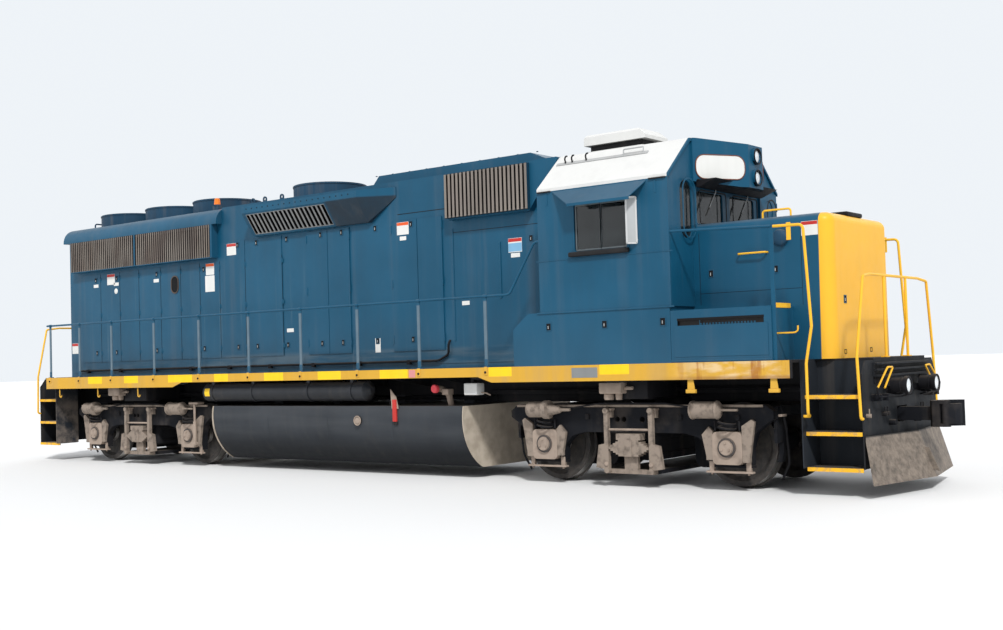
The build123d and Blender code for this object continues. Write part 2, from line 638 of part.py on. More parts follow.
# Panes set in the middle of the cab's walls
with BuildPart() as cab_glass:
    with BuildSketch(Plane.XZ.offset(SILL_Y - CAB_WALL / 2)):
        with Locations((SIDE_WINDOW_X, SIDE_WINDOW_Z)):
            RectangleRounded(SIDE_WINDOW_W, SIDE_WINDOW_H, 40)
    extrude(amount=GLASS_T)
    mirror(about=Plane.XZ)
    with BuildSketch(Plane.YZ.offset(CAB_FRONT - CAB_WALL / 2)):
        with Locations((-WINDSHIELD_Y, WINDSHIELD_Z), (WINDSHIELD_Y, WINDSHIELD_Z)):
            RectangleRounded(WINDSHIELD_W, WINDSHIELD_H, 40)
        with Locations((CORNER_WINDOW_Y, CORNER_WINDOW_Z)):
            SlotOverall(CORNER_WINDOW_H, CORNER_WINDOW_W, rotation=90)
    extrude(amount=GLASS_T)
    with BuildSketch(Plane.YZ.offset(CAB_REAR + CAB_WALL / 2)):
        with Locations((-CORNER_WINDOW_Y + 100, CORNER_WINDOW_Z)):
            SlotOverall(CORNER_WINDOW_H, CORNER_WINDOW_W, rotation=90)
    extrude(amount=GLASS_T)
cab_glass.part.label = "cab_glass"
export_step(cab_glass.part, "parts/cab_glass.step")

# Hinged cab doors, each one leaf with its window, lying over its doorway
for wall_x, out, y, door_name in (
    (CAB_FRONT, 1, CAB_DOOR_Y, "cab_door_front"),
    (CAB_REAR, -1, -CAB_DOOR_Y, "cab_door_rear"),
):
    with BuildPart() as cab_door:
        with BuildSketch(Plane.YZ.offset(wall_x + out * LEAF_GAP)):
            with Locations((y, (CAB_DOOR_TOP + CAB_DOOR_BOTTOM) / 2)):
                RectangleRounded(CAB_DOOR_W + 30, door_height + 20, 30)
            with Locations((y, CORNER_WINDOW_Z)):
                SlotOverall(560, 260, rotation=90, mode=Mode.SUBTRACT)
        extrude(amount=out * CAB_DOOR_T)
        with BuildSketch(Plane.YZ.offset(wall_x + out * (LEAF_GAP + CAB_DOOR_T / 2))):
            with Locations((y, CORNER_WINDOW_Z)):
                SlotOverall(560, 260, rotation=90)
        extrude(amount=out * GLASS_T)
        # Moving knuckles above the fixed ones, and notches round the fixed ones
        hinge_y = out * CAB_HINGE_Y
        pin_x = wall_x + out * (LEAF_GAP + CAB_DOOR_T)
        for z in CAB_HINGE_ZS:
            with Locations((pin_x, hinge_y, z)):
                Box(2 * CAB_DOOR_T + 2, 2 * (HINGE_R + 2), HINGE_H + 4 * RUNNING_GAP, mode=Mode.SUBTRACT)
            with Locations((pin_x, hinge_y, z + HINGE_H + RUNNING_GAP)):
                Cylinder(HINGE_R, HINGE_H)
    cab_door.part.label = door_name
    export_step(cab_door.part, f"parts/{door_name}.step")

# Two cab seats: pedestal, cushion and back
SEAT_Y = 1050.0
with BuildPart() as cab_seats:
    for y in (-SEAT_Y, SEAT_Y):
        with Locations((CAB_REAR + 640, y, CAB_FLOOR + CAB_WALL + 200)):
            Cylinder(45, 400)
        with Locations((CAB_REAR + 660, y, CAB_FLOOR + CAB_WALL + 450)):
            Box(480, 460, 100)
        with Locations((CAB_REAR + 440, y, CAB_FLOOR + CAB_WALL + 780)):
            Box(90, 440, 600)
cab_seats.part.label = "cab_seats"
export_step(cab_seats.part, "parts/cab_seats.step")

# Control stand beside the right-hand seat and the desk on the left
with BuildPart() as control_stand:
    with BuildSketch(Plane.XZ.offset(300)):
        with BuildLine():
            Polyline(
                (CAB_REAR + 940, CAB_FLOOR + CAB_WALL),
                (CAB_REAR + 1440, CAB_FLOOR + CAB_WALL),
                (CAB_REAR + 1440, CAB_FLOOR + 1150),
                (CAB_REAR + 1140, CAB_FLOOR + 1200),
                (CAB_REAR + 990, CAB_FLOOR + 900),
                close=True,
            )
        make_face()
    extrude(amount=450)
control_stand.part.label = "control_stand"
export_step(control_stand.part, "parts/control_stand.step")

# Roof air conditioner: plinth, recessed vent band, and a lid with a raked front
AC_X = CAB_REAR + 560.0
AC_Y = -180.0
AC_LENGTH = 960.0
AC_WIDTH = 600.0
AC_PLINTH = 110.0
AC_BAND = 80.0
AC_LID = 150.0
with BuildPart() as air_conditioner:
    with BuildSketch(Plane.XY.offset(CAB_RIDGE + SEAT_GAP)):
        with Locations((AC_X, AC_Y)):
            RectangleRounded(AC_LENGTH - 60, AC_WIDTH - 60, 30)
    extrude(amount=AC_PLINTH)
    with BuildSketch(Plane.XY.offset(CAB_RIDGE + SEAT_GAP + AC_PLINTH)):
        with Locations((AC_X, AC_Y)):
            RectangleRounded(AC_LENGTH - 120, AC_WIDTH - 120, 30)
    extrude(amount=AC_BAND)
    lid_foot = CAB_RIDGE + SEAT_GAP + AC_PLINTH + AC_BAND
    with BuildSketch(Plane.XZ.offset(-AC_Y - AC_WIDTH / 2)):
        with BuildLine():
            Polyline(
                (AC_X - AC_LENGTH / 2, lid_foot),
                (AC_X + AC_LENGTH / 2 + 30, lid_foot),
                (AC_X + AC_LENGTH / 2 + 30, lid_foot + 50),
                (AC_X + AC_LENGTH / 2 - 90, lid_foot + AC_LID),
                (AC_X - AC_LENGTH / 2 + 40, lid_foot + AC_LID),
                (AC_X - AC_LENGTH / 2, lid_foot + AC_LID - 50),
                close=True,
            )
        make_face()
    extrude(amount=AC_WIDTH)
    chamfer(air_conditioner.edges().filter_by(Axis.X).group_by(Axis.Z)[-1], 30)
air_conditioner.part.label = "air_conditioner"
export_step(air_conditioner.part, "parts/air_conditioner.step")

# Sloping sunshade over each side window, with a turned outer edge
SHADE_REACH = 240.0
with BuildPart() as sunshades:
    with BuildSketch(Plane.XZ.offset(SILL_Y + SEAT_GAP)):
        with Locations((SIDE_WINDOW_X - 20, CAB_EAVE - 60)):
            Rectangle(1440, 14)
    with BuildSketch(Plane.XZ.offset(SILL_Y + SHADE_REACH)):
        with Locations((SIDE_WINDOW_X + 115, CAB_EAVE - 273)):
            Rectangle(930, 14)
    loft()
    with Locations((SIDE_WINDOW_X + 115, -SILL_Y - SHADE_REACH + 7, CAB_EAVE - 284)):
        Box(930, 14, 36)
    mirror(about=Plane.XZ)
sunshades.part.label = "sunshades"
export_step(sunshades.part, "parts/sunshades.step")

# Doors along one hood side: rear and front edge from the hood's rear end, and whether the pair opens
HOOD_DOORS = (
    ("rear_1", 396.0, 1008.0, False),
    ("rear_2", 1008.0, 1610.0, False),
    ("rear_3", 1610.0, 2193.0, False),
    ("rear_4", 2193.0, 2837.0, False),
    ("rear_5", 2837.0, 3409.0, False),
    ("mid_1", 3409.0, 3945.0, False),
    ("mid_2", 3945.0, 4481.0, False),
    ("mid_3", 4481.0, 5143.0, False),
    ("mid_4", 5143.0, 6059.0, False),
    ("engine_1", 6651.0, 7139.0, True),
    ("engine_2", 7139.0, 7627.0, True),
    ("engine_3", 8520.0, 9048.0, True),
    ("engine_4", 9048.0, 9539.0, True),
)
# Doorways behind the swinging pairs, from the hood's rear end
DOORWAYS = ((6651.0, 7627.0), (8520.0, 9539.0))
DOOR_EDGE = 6.0
LEAF_HINGE_Y = HOOD_Y + LEAF_GAP + LEAF_T
LEAF_HINGE_ZS = (DOOR_BOTTOM + 150, (DOOR_BOTTOM + DOOR_TOP) / 2, DOOR_TOP - 150)

# Long hood walls
with BuildPart() as hood_shell:
    with BuildSketch(Plane.XY.offset(DECK_TOP)):
        with Locations(((HOOD_REAR + HOOD_FRONT) / 2, 0)):
            Rectangle(HOOD_FRONT - HOOD_REAR, 2 * HOOD_Y)
            Rectangle(HOOD_FRONT - HOOD_REAR - 2 * HOOD_WALL, 2 * (HOOD_Y - HOOD_WALL), mode=Mode.SUBTRACT)
    extrude(amount=RADIATOR_TOP - DECK_TOP)
    with BuildSketch(Plane.XY.offset(RADIATOR_TOP)):
        with Locations(((RADIATOR_FRONT + HOOD_FRONT) / 2 + 60, 0)):
            Rectangle(HOOD_FRONT - RADIATOR_FRONT - 120, 2 * HOOD_Y)
            Rectangle(HOOD_FRONT - RADIATOR_FRONT - 2 * HOOD_WALL - 120, 2 * (HOOD_Y - HOOD_WALL), mode=Mode.SUBTRACT)
    extrude(amount=HOOD_TOP - HOOD_WALL - RADIATOR_TOP)
    # Raised leaves that stay closed
    for name, start, stop, opens in HOOD_DOORS:
        if opens:
            continue
        top = DOOR_TOP
        if HOOD_REAR + stop <= RADIATOR_FRONT + 100:
            top = RADIATOR_BOTTOM - 60
        for side in (-1, 1):
            with Locations((HOOD_REAR + (start + stop) / 2, side * (HOOD_Y + 5), (DOOR_BOTTOM + top) / 2)):
                Box(stop - start - 2 * DOOR_EDGE, 10, top - DOOR_BOTTOM)
    # Doorways behind the swinging pairs, and the fixed knuckles at their outer edges
    for start, stop in DOORWAYS:
        with Locations((HOOD_REAR + (start + stop) / 2, 0, (DOOR_BOTTOM + DOOR_TOP) / 2)):
            Box(stop - start - 60, 2 * HOOD_Y + 10, DOOR_TOP - DOOR_BOTTOM - 60, mode=Mode.SUBTRACT)
        for pin, out in ((HOOD_REAR + start + DOOR_EDGE, -1), (HOOD_REAR + stop - DOOR_EDGE, 1)):
            for side in (-1, 1):
                for z in LEAF_HINGE_ZS:
                    with Locations((pin, side * LEAF_HINGE_Y, z)):
                        Cylinder(HINGE_R, HINGE_H)
                    with Locations((pin + out * HINGE_R / 2, side * (HOOD_Y + LEAF_HINGE_Y) / 2, z)):
                        Box(HINGE_R, LEAF_HINGE_Y - HOOD_Y, HINGE_H)
    # Kick plate along the foot of each side
    for side in (-1, 1):
        with Locations(((HOOD_REAR + BASE_REAR) / 2 + 20, side * (HOOD_Y + KICK_T / 2), DECK_TOP + 160)):
            Box(BASE_REAR - HOOD_REAR - 100, KICK_T, 180)
hood_shell.part.label = "hood_shell"
export_step(hood_shell.part, "parts/hood_shell.step")

# Swinging leaves over the engine doorways, two pairs a side, hinged at the pair's outer edges
for name, start, stop, opens in HOOD_DOORS:
    if not opens:
        continue
    pin = HOOD_REAR + stop - DOOR_EDGE
    if start in [doorway[0] for doorway in DOORWAYS]:
        pin = HOOD_REAR + start + DOOR_EDGE
    for side, side_name in ((-1, "right"), (1, "left")):
        with BuildPart() as leaf:
            leaf_y = side * (HOOD_Y + LEAF_GAP + LEAF_T / 2)
            with Locations((HOOD_REAR + (start + stop) / 2, leaf_y, (DOOR_BOTTOM + DOOR_TOP) / 2)):
                Box(stop - start - 2 * DOOR_EDGE, LEAF_T, DOOR_TOP - DOOR_BOTTOM)
            for z in LEAF_HINGE_ZS:
                with Locations((pin, side * LEAF_HINGE_Y, z)):
                    Box(2 * (HINGE_R + 2), 2 * LEAF_T + 2, HINGE_H + 4 * RUNNING_GAP, mode=Mode.SUBTRACT)
                with Locations((pin, side * LEAF_HINGE_Y, z + HINGE_H + RUNNING_GAP)):
                    Cylinder(HINGE_R, HINGE_H)
        leaf.part.label = f"{name}_{side_name}"
        export_step(leaf.part, f"parts/{name}_{side_name}.step")

# Raised hatch on the roof, from the hood's rear end
HATCH_REAR = HOOD_REAR + 7800.0
HATCH_Y = 600.0
HATCH_H = 190.0

# Hood roof: rounded shoulders over the radiators, flat over the engine, raised hatch in front
with BuildPart() as hood_roof:
    with BuildSketch(Plane.YZ.offset(HOOD_REAR)):
        with BuildLine():
            Polyline(
                (-SHOULDER_Y, HOOD_TOP),
                (SHOULDER_Y, HOOD_TOP),
            )
            ThreePointArc(
                (SHOULDER_Y, HOOD_TOP),
                (SHOULDER_Y + 0.72 * (RADIATOR_Y - SHOULDER_Y), HOOD_TOP - 0.3 * (HOOD_TOP - RADIATOR_TOP)),
                (RADIATOR_Y, RADIATOR_TOP),
            )
            Polyline((RADIATOR_Y, RADIATOR_TOP), (-RADIATOR_Y, RADIATOR_TOP))
            ThreePointArc(
                (-RADIATOR_Y, RADIATOR_TOP),
                (-SHOULDER_Y - 0.72 * (RADIATOR_Y - SHOULDER_Y), HOOD_TOP - 0.3 * (HOOD_TOP - RADIATOR_TOP)),
                (-SHOULDER_Y, HOOD_TOP),
            )
        make_face()
    extrude(amount=RADIATOR_FRONT + 120 - HOOD_REAR)
    with Locations(((RADIATOR_FRONT + 120 + HOOD_FRONT) / 2, 0, HOOD_TOP - HOOD_WALL / 2)):
        Box(HOOD_FRONT - RADIATOR_FRONT - 120, 2 * HOOD_Y, HOOD_WALL)
    # Raised hatch with sloping ends
    with BuildSketch(Plane.XZ.offset(-HATCH_Y)):
        with BuildLine():
            Polyline(
                (HATCH_REAR, HOOD_TOP),
                (HATCH_REAR + 180, HOOD_TOP + HATCH_H),
                (HOOD_FRONT - 750, HOOD_TOP + HATCH_H),
                (HOOD_FRONT - 300, HOOD_TOP),
                close=True,
            )
        make_face()
    extrude(amount=2 * HATCH_Y)
hood_roof.part.label = "hood_roof"
export_step(hood_roof.part, "parts/hood_roof.step")

# Radiator grilles: a frame with close vertical vanes, two openings on each side
with BuildPart() as radiator_grilles:
    for rear, front in ((RADIATOR_REAR, RADIATOR_SPLIT), (RADIATOR_SPLIT, RADIATOR_FRONT)):
        middle = ((rear + front) / 2, RADIATOR_BOTTOM + RADIATOR_HEIGHT / 2)
        span = front - rear - 2 * RADIATOR_FRAME
        opening = RADIATOR_HEIGHT - 2 * RADIATOR_FRAME
        with BuildSketch(Plane.XZ.offset(HOOD_Y)):
            with Locations(middle):
                Rectangle(front - rear, RADIATOR_HEIGHT)
                Rectangle(span, opening, mode=Mode.SUBTRACT)
        extrude(amount=RADIATOR_Y - HOOD_Y)
        with BuildSketch(Plane.XZ.offset(HOOD_Y)):
            with Locations(middle):
                Rectangle(span, opening)
        extrude(amount=30)
        with BuildSketch(Plane.XZ.offset(HOOD_Y + 30)):
            with Locations(middle):
                with GridLocations(RADIATOR_VANES, 1, int(span / RADIATOR_VANES) - 1, 1):
                    Rectangle(18, opening)
        extrude(amount=RADIATOR_Y - HOOD_Y - 42)
    mirror(about=Plane.XZ)
radiator_grilles.part.label = "radiator_grilles"
export_step(radiator_grilles.part, "parts/radiator_grilles.step")

# Dynamic brake blisters: a slotted slanting face, and a front that tapers back to the hood
with BuildPart() as brake_blister:
    full_section = (
        (-HOOD_Y, BLISTER_FOOT),
        (-BLISTER_FOOT_Y, BLISTER_FOOT),
        (-BLISTER_Y, BLISTER_LIP),
        (-BLISTER_Y, BLISTER_TOP),
        (-HOOD_Y, BLISTER_TOP + 40),
    )
    tip_section = (
        (-HOOD_Y, BLISTER_LIP - 28),
        (-HOOD_Y - 8, BLISTER_LIP - 28),
        (-HOOD_Y - 16, BLISTER_LIP),
        (-HOOD_Y - 16, BLISTER_TOP + 14),
        (-HOOD_Y, BLISTER_TOP + 20),
    )
    with BuildSketch(Plane.YZ.offset(BLISTER_REAR)):
        with BuildLine():
            Polyline(*full_section, close=True)
        make_face()
    extrude(amount=BLISTER_FRONT - BLISTER_TAPER - BLISTER_REAR)
    with BuildSketch(Plane.YZ.offset(BLISTER_FRONT - BLISTER_TAPER)):
        with BuildLine():
            Polyline(*full_section, close=True)
        make_face()
    with BuildSketch(Plane.YZ.offset(BLISTER_FRONT)):
        with BuildLine():
            Polyline(*tip_section, close=True)
        make_face()
    loft()
    # Slots between the slats of the slanting face
    slant = atan2(BLISTER_Y - BLISTER_FOOT_Y, BLISTER_LIP - BLISTER_FOOT)
    slant_length = sqrt((BLISTER_Y - BLISTER_FOOT_Y) ** 2 + (BLISTER_LIP - BLISTER_FOOT) ** 2)
    slant_middle = (-(BLISTER_Y + BLISTER_FOOT_Y) / 2, (BLISTER_LIP + BLISTER_FOOT) / 2)
    for slot in range(BLISTER_SLATS):
        x = BLISTER_REAR + 120 + slot * BLISTER_PITCH
        with Locations(Location((x, slant_middle[0], slant_middle[1]), (degrees(slant), 0, 0))):
            Box(BLISTER_PITCH - 34, 90, slant_length - 90, mode=Mode.SUBTRACT)
    mirror(about=Plane.XZ)
brake_blister.part.label = "brake_blister"
export_step(brake_blister.part, "parts/brake_blister.step")

# Central air intake housings ahead of the engine, with vertical vanes
with BuildPart() as intake_grilles:
    vane_span = HOOD_FRONT - INTAKE_REAR - 460
    with BuildSketch(Plane.XZ.offset(HOOD_Y)):
        with BuildLine():
            Polyline(
                (INTAKE_REAR, INTAKE_BOTTOM),
                (INTAKE_REAR + vane_span - 20, INTAKE_BOTTOM),
                (INTAKE_REAR + vane_span + 130, INTAKE_BOTTOM + 200),
                (HOOD_FRONT, INTAKE_BOTTOM + 222),
                (HOOD_FRONT, INTAKE_TOP + 12),
                (INTAKE_REAR, INTAKE_TOP),
                close=True,
            )
        make_face()
    extrude(amount=INTAKE_T)
    with BuildSketch(Plane.XZ.offset(HOOD_Y + INTAKE_T)):
        with Locations((INTAKE_REAR + vane_span / 2, (INTAKE_BOTTOM + INTAKE_TOP) / 2)):
            Rectangle(vane_span, INTAKE_TOP - INTAKE_BOTTOM - 40)
            Rectangle(vane_span - 50, INTAKE_TOP - INTAKE_BOTTOM - 90, mode=Mode.SUBTRACT)
            with GridLocations(INTAKE_VANES, 1, int(vane_span / INTAKE_VANES) - 1, 1):
                Rectangle(20, INTAKE_TOP - INTAKE_BOTTOM - 90)
    extrude(amount=65)
    mirror(about=Plane.XZ)
intake_grilles.part.label = "intake_grilles"
export_step(intake_grilles.part, "parts/intake_grilles.step")

# Engine and generator as one plain block on the deck
with BuildPart() as engine_block:
    with BuildSketch(Plane.YZ.offset(ENGINE_REAR)):
        with BuildLine():
            Polyline(
                (-ENGINE_FOOT_Y, DECK_TOP),
                (ENGINE_FOOT_Y, DECK_TOP),
                (ENGINE_Y, DECK_TOP + 900),
                (ENGINE_Y, DECK_TOP + 1500),
                (200, DECK_TOP + ENGINE_HEIGHT),
                (-200, DECK_TOP + ENGINE_HEIGHT),
                (-ENGINE_Y, DECK_TOP + 1500),
                (-ENGINE_Y, DECK_TOP + 900),
                close=True,
            )
        make_face()
    extrude(amount=ENGINE_LENGTH)
engine_block.part.label = "engine_block"
export_step(engine_block.part, "parts/engine_block.step")

# Shrouds of the four roof fans, each with a spider that carries the fan and a flat guard on top
with BuildPart() as fan_housings:
    for x in FAN_XS:
        with BuildSketch(Plane.XY.offset(HOOD_TOP)):
            with Locations((x, 0)):
                Circle(FAN_SHROUD_R)
                Circle(FAN_SHROUD_R - FAN_SHROUD_T, mode=Mode.SUBTRACT)
        extrude(amount=FAN_TOP - HOOD_TOP)
        # Turned rim near the top of the shroud
        with BuildSketch(Plane.XY.offset(FAN_TOP - 30)):
            with Locations((x, 0)):
                Circle(FAN_SHROUD_R + 10)
                Circle(FAN_SHROUD_R - FAN_SHROUD_T, mode=Mode.SUBTRACT)
        extrude(amount=22)
        with BuildSketch(Plane.XY.offset(HOOD_TOP)):
            with Locations((x, 0)):
                Circle(FAN_HUB_R)
        extrude(amount=FAN_SEAT)
        with BuildSketch(Plane.XY.offset(FAN_TOP - 14)):
            with Locations((x, 0)):
                for r in (440, 280, 120):
                    Circle(r + 8)
                    Circle(r - 8, mode=Mode.SUBTRACT)
                with PolarLocations(0, 3):
                    Rectangle(2 * FAN_SHROUD_R - FAN_SHROUD_T, 14)
        extrude(amount=14)
fan_housings.part.label = "fan_housings"
export_step(fan_housings.part, "parts/fan_housings.step")

# Roof fans: a hub with pitched blades
for number, x in enumerate(FAN_XS, start=1):
    with BuildPart() as fan:
        with BuildSketch(Plane.XY.offset(HOOD_TOP + FAN_SEAT + RUNNING_GAP)):
            with Locations((x, 0)):
                Circle(FAN_HUB_R)
        extrude(amount=FAN_HUB_H)
        with Locations((x, 0, HOOD_TOP + FAN_SEAT + FAN_HUB_H / 2)):
            with PolarLocations(0, FAN_BLADES):
                with Locations(Location(((FAN_R + FAN_HUB_R) / 2 - 10, 0, 0), (28, 0, 0))):
                    Box(FAN_R - FAN_HUB_R + 20, 170, 12)
    fan.part.label = f"fan_{number}"
    export_step(fan.part, f"parts/fan_{number}.step")

# Handrails along both walkways and beside the short hood, on flat posts
CAB_RAIL_Z = DECK_TOP + 1653.0
FRONT_POST_X = BATTERY_FRONT + SEAT_GAP + POST_W / 2
with BuildPart() as handrails_sides:
    with BuildLine() as rail_path:
        FilletPolyline(
            (HOOD_REAR + 90, -RAIL_Y, RAIL_TOP - 30),
            (BASE_REAR - 70, -RAIL_Y, RAIL_TOP - 35),
            (CAB_REAR - 84, -RAIL_Y, CAB_RAIL_Z),
            (CAB_REAR - SEAT_GAP, -RAIL_Y, CAB_RAIL_Z),
            radius=100,
        )
    with BuildSketch(Plane(origin=rail_path.line @ 0, z_dir=rail_path.line % 0)):
        Circle(RAIL_R)
    sweep()
    for x in STANCHIONS:
        with BuildSketch(Plane.XY.offset(DECK_TOP)):
            with Locations((x, -RAIL_Y)):
                Rectangle(POST_W, POST_T)
        extrude(amount=RAIL_TOP - 34 - DECK_TOP)
        with Locations((x, -RAIL_Y, DECK_TOP + 6)):
            Box(110, 44, 12)
    with BuildLine() as front_path:
        FilletPolyline(
            (CAB_FRONT + SEAT_GAP, -RAIL_Y, CAB_RAIL_Z - 36),
            (CAB_FRONT + 60, -RAIL_Y, CAB_RAIL_Z - 36),
            (FRONT_POST_X, -RAIL_Y, CAB_RAIL_Z - 92),
            radius=100,
        )
    with BuildSketch(Plane(origin=front_path.line @ 0, z_dir=front_path.line % 0)):
        Circle(RAIL_R)
    sweep()
    with BuildSketch(Plane.XY.offset(DECK_TOP)):
        with Locations((FRONT_POST_X, -RAIL_Y)):
            Rectangle(POST_W, POST_T)
    extrude(amount=CAB_RAIL_Z - 84 - DECK_TOP)
    mirror(about=Plane.XZ)
handrails_sides.part.label = "handrails_sides"
export_step(handrails_sides.part, "parts/handrails_sides.step")

# Yellow handrails at the corner steps, across the end platforms and down to the front steps
with BuildPart() as handrails_ends:
    for end in (-1, 1):
        with BuildLine() as corner_path:
            FilletPolyline(
                (end * (END_X - PILOT_T / 2), -PILOT_Y - SEAT_GAP, 900),
                (end * (END_X - PILOT_T / 2), -PILOT_Y - 55, 900),
                (end * (END_X - 30), -PILOT_Y - 55, DECK_TOP + 20),
                (end * (END_X - 10), -PILOT_Y + 160, RAIL_TOP - 70),
                (end * (END_X - 30), -PILOT_Y + 420, RAIL_TOP - 40),
                (end * (END_X - 30), 0, RAIL_TOP - 40),
                radius=38,
            )
        with BuildSketch(Plane(origin=corner_path.line @ 0, z_dir=corner_path.line % 0)):
            Circle(RAIL_R)
        sweep()
        # Joints above the foot and below the bend, so the run beside the steps is a straight piece
        for z in (960, 1575):
            with Locations((end * (END_X - 20), -PILOT_Y - 55, z)):
                Box(80, 60, SEAT_GAP, mode=Mode.SUBTRACT)
        with BuildSketch(Plane.XY.offset(DECK_TOP)):
            with Locations((end * (END_X - 30), -360)):
                Circle(RAIL_R)
        extrude(amount=RAIL_TOP - 50 - DECK_TOP)
        with Locations((end * (END_X - 40), -360, DECK_TOP + 6)):
            Box(80, 90, 12)
    # From the post beside the short hood down to the bulkhead of the front steps
    with BuildLine() as step_path:
        FilletPolyline(
            (FRONT_POST_X + POST_W / 2 + SEAT_GAP, -RAIL_Y, CAB_RAIL_Z - 94),
            (WELL_X + 190, -RAIL_Y, CAB_RAIL_Z - 103),
            (WELL_X + 250, -RAIL_Y, DECK_TOP + 380),
            (WELL_X + 170, -RAIL_Y, DECK_TOP - 40),
            (WELL_X + 170, -RAIL_Y, 970),
            (WELL_X + 90, -BULKHEAD_Y + 40, 930),
            (WELL_X + STEP_PLATE + SEAT_GAP, -BULKHEAD_Y + 40, 930),
            radius=60,
        )
    with BuildSketch(Plane(origin=step_path.line @ 0, z_dir=step_path.line % 0)):
        Circle(RAIL_R)
    sweep()
    mirror(about=Plane.XZ)
handrails_ends.part.label = "handrails_ends"
export_step(handrails_ends.part, "parts/handrails_ends.step")

# Number board and headlight housing over the windscreens, with slanting faces and a sloping top
with BuildPart() as lamp_housing:
    lamp_x = CAB_FRONT + LAMP_REACH
    with BuildSketch(Plane.XY.offset(LAMP_BOTTOM)):
        with BuildLine():
            Polyline(
                (CAB_FRONT + SEAT_GAP, -LAMP_Y),
                (CAB_FRONT + 30, -LAMP_Y),
                (lamp_x, -LAMP_FLAT_Y),
                (lamp_x, LAMP_FLAT_Y),
                (CAB_FRONT + 30, LAMP_Y),
                (CAB_FRONT + SEAT_GAP, LAMP_Y),
                close=True,
            )
        make_face()
    extrude(amount=LAMP_TOP - LAMP_BOTTOM)
    # Slopes of the top and of the underside
    with BuildSketch(Plane.XZ.offset(-LAMP_Y - 5)):
        with BuildLine():
            Polyline(
                (CAB_FRONT + 60, LAMP_TOP),
                (lamp_x + 10, LAMP_TOP - 55),
                (lamp_x + 10, LAMP_TOP + 10),
                (CAB_FRONT + 60, LAMP_TOP + 10),
                close=True,
            )
        make_face()
        with BuildLine():
            Polyline(
                (CAB_FRONT - 5, LAMP_BOTTOM + 65),
                (lamp_x - 60, LAMP_BOTTOM),
                (lamp_x - 60, LAMP_BOTTOM - 10),
                (CAB_FRONT - 5, LAMP_BOTTOM - 10),
                close=True,
            )
        make_face()
    extrude(amount=2 * LAMP_Y + 10, mode=Mode.SUBTRACT)
    # Room for the lip of the cab's roof
    with Locations((CAB_FRONT, 0, (CAB_RIDGE - ROOF_T - SEAT_GAP + LAMP_TOP + 10) / 2)):
        Box(2 * (ROOF_LIP + SEAT_GAP), 2 * LAMP_Y + 10, LAMP_TOP + 10 - CAB_RIDGE + ROOF_T + SEAT_GAP, mode=Mode.SUBTRACT)
    # Two bezels in the flat front, one above the other
    for z in (LAMP_BOTTOM + 138, LAMP_BOTTOM + 418):
        with BuildSketch(Plane.YZ.offset(lamp_x)):
            with Locations((0, z)):
                Circle(LAMP_R + 22)
        extrude(amount=30)
        with BuildSketch(Plane.YZ.offset(lamp_x - 25)):
            with Locations((0, z)):
                Circle(LAMP_R)
        extrude(amount=60, mode=Mode.SUBTRACT)
        with BuildSketch(Plane.YZ.offset(lamp_x - 30)):
            with Locations((0, z)):
                Circle(LAMP_R - 6)
        extrude(amount=40)
lamp_housing.part.label = "lamp_housing"
export_step(lamp_housing.part, "parts/lamp_housing.step")

# Ditch lights on the front pilot: a drum with a bezel on a bracket
DITCH_Y = 480.0
DITCH_Z = 1256.0
with BuildPart() as ditch_lights:
    for y in (-DITCH_Y, DITCH_Y):
        with BuildSketch(Plane.YZ.offset(END_X + 70)):
            with Locations((y, DITCH_Z)):
                Circle(88)
        extrude(amount=160)
        with BuildSketch(Plane.YZ.offset(END_X + 230)):
            with Locations((y, DITCH_Z)):
                Circle(106)
        extrude(amount=45)
        with BuildSketch(Plane.YZ.offset(END_X + 255)):
            with Locations((y, DITCH_Z)):
                Circle(86)
        extrude(amount=25, mode=Mode.SUBTRACT)
        with Locations((END_X + SEAT_GAP + 60, y, DITCH_Z - 40)):
            Box(120, 90, 70)
ditch_lights.part.label = "ditch_lights"
export_step(ditch_lights.part, "parts/ditch_lights.step")

# Roof fittings: beacon at the end of the radiator shoulder, lifting lugs and a grab loop at the rear
BEACON_X = RADIATOR_FRONT - 220.0
BEACON_Y = -740.0
GRAB_X = HOOD_REAR + 110.0
GRAB_Y = 420.0
LUG_Y = 800.0
LUG_XS = [HOOD_REAR + place for place in (5230.0, 5530.0, 5950.0)]
with BuildPart() as roof_fittings:
    with Locations((BEACON_X, BEACON_Y, HOOD_TOP + SEAT_GAP + 40)):
        Box(150, 90, 80)
    with Locations((BEACON_X, BEACON_Y, HOOD_TOP + SEAT_GAP + 90)):
        Cylinder(60, 20)
    with Locations((BEACON_X, BEACON_Y, HOOD_TOP + SEAT_GAP + 150)):
        Cone(54, 44, 100)
    with Locations((BEACON_X, BEACON_Y, HOOD_TOP + SEAT_GAP + 205)):
        Cone(44, 20, 14)
    for x in LUG_XS:
        for side in (-1, 1):
            with Locations((x, side * LUG_Y, HOOD_TOP + SEAT_GAP + 8)):
                Box(130, 90, 16)
            with BuildSketch(Plane.XZ.offset(-side * LUG_Y - 9)):
                with Locations((x, HOOD_TOP + SEAT_GAP + 60)):
                    Circle(46)
                with Locations((x, HOOD_TOP + SEAT_GAP + 30)):
                    Rectangle(92, 60)
                with Locations((x, HOOD_TOP + SEAT_GAP + 60)):
                    Circle(22, mode=Mode.SUBTRACT)
            extrude(amount=18)
    with BuildLine() as grab_path:
        FilletPolyline(
            (GRAB_X, -GRAB_Y, HOOD_TOP + SEAT_GAP),
            (GRAB_X, -GRAB_Y, HOOD_TOP + 150),
            (GRAB_X, GRAB_Y, HOOD_TOP + 150),
            (GRAB_X, GRAB_Y, HOOD_TOP + SEAT_GAP),
            radius=40,
        )
    with BuildSketch(Plane(origin=grab_path.line @ 0, z_dir=grab_path.line % 0)):
        Circle(14)
    sweep()
roof_fittings.part.label = "roof_fittings"
export_step(roof_fittings.part, "parts/roof_fittings.step")

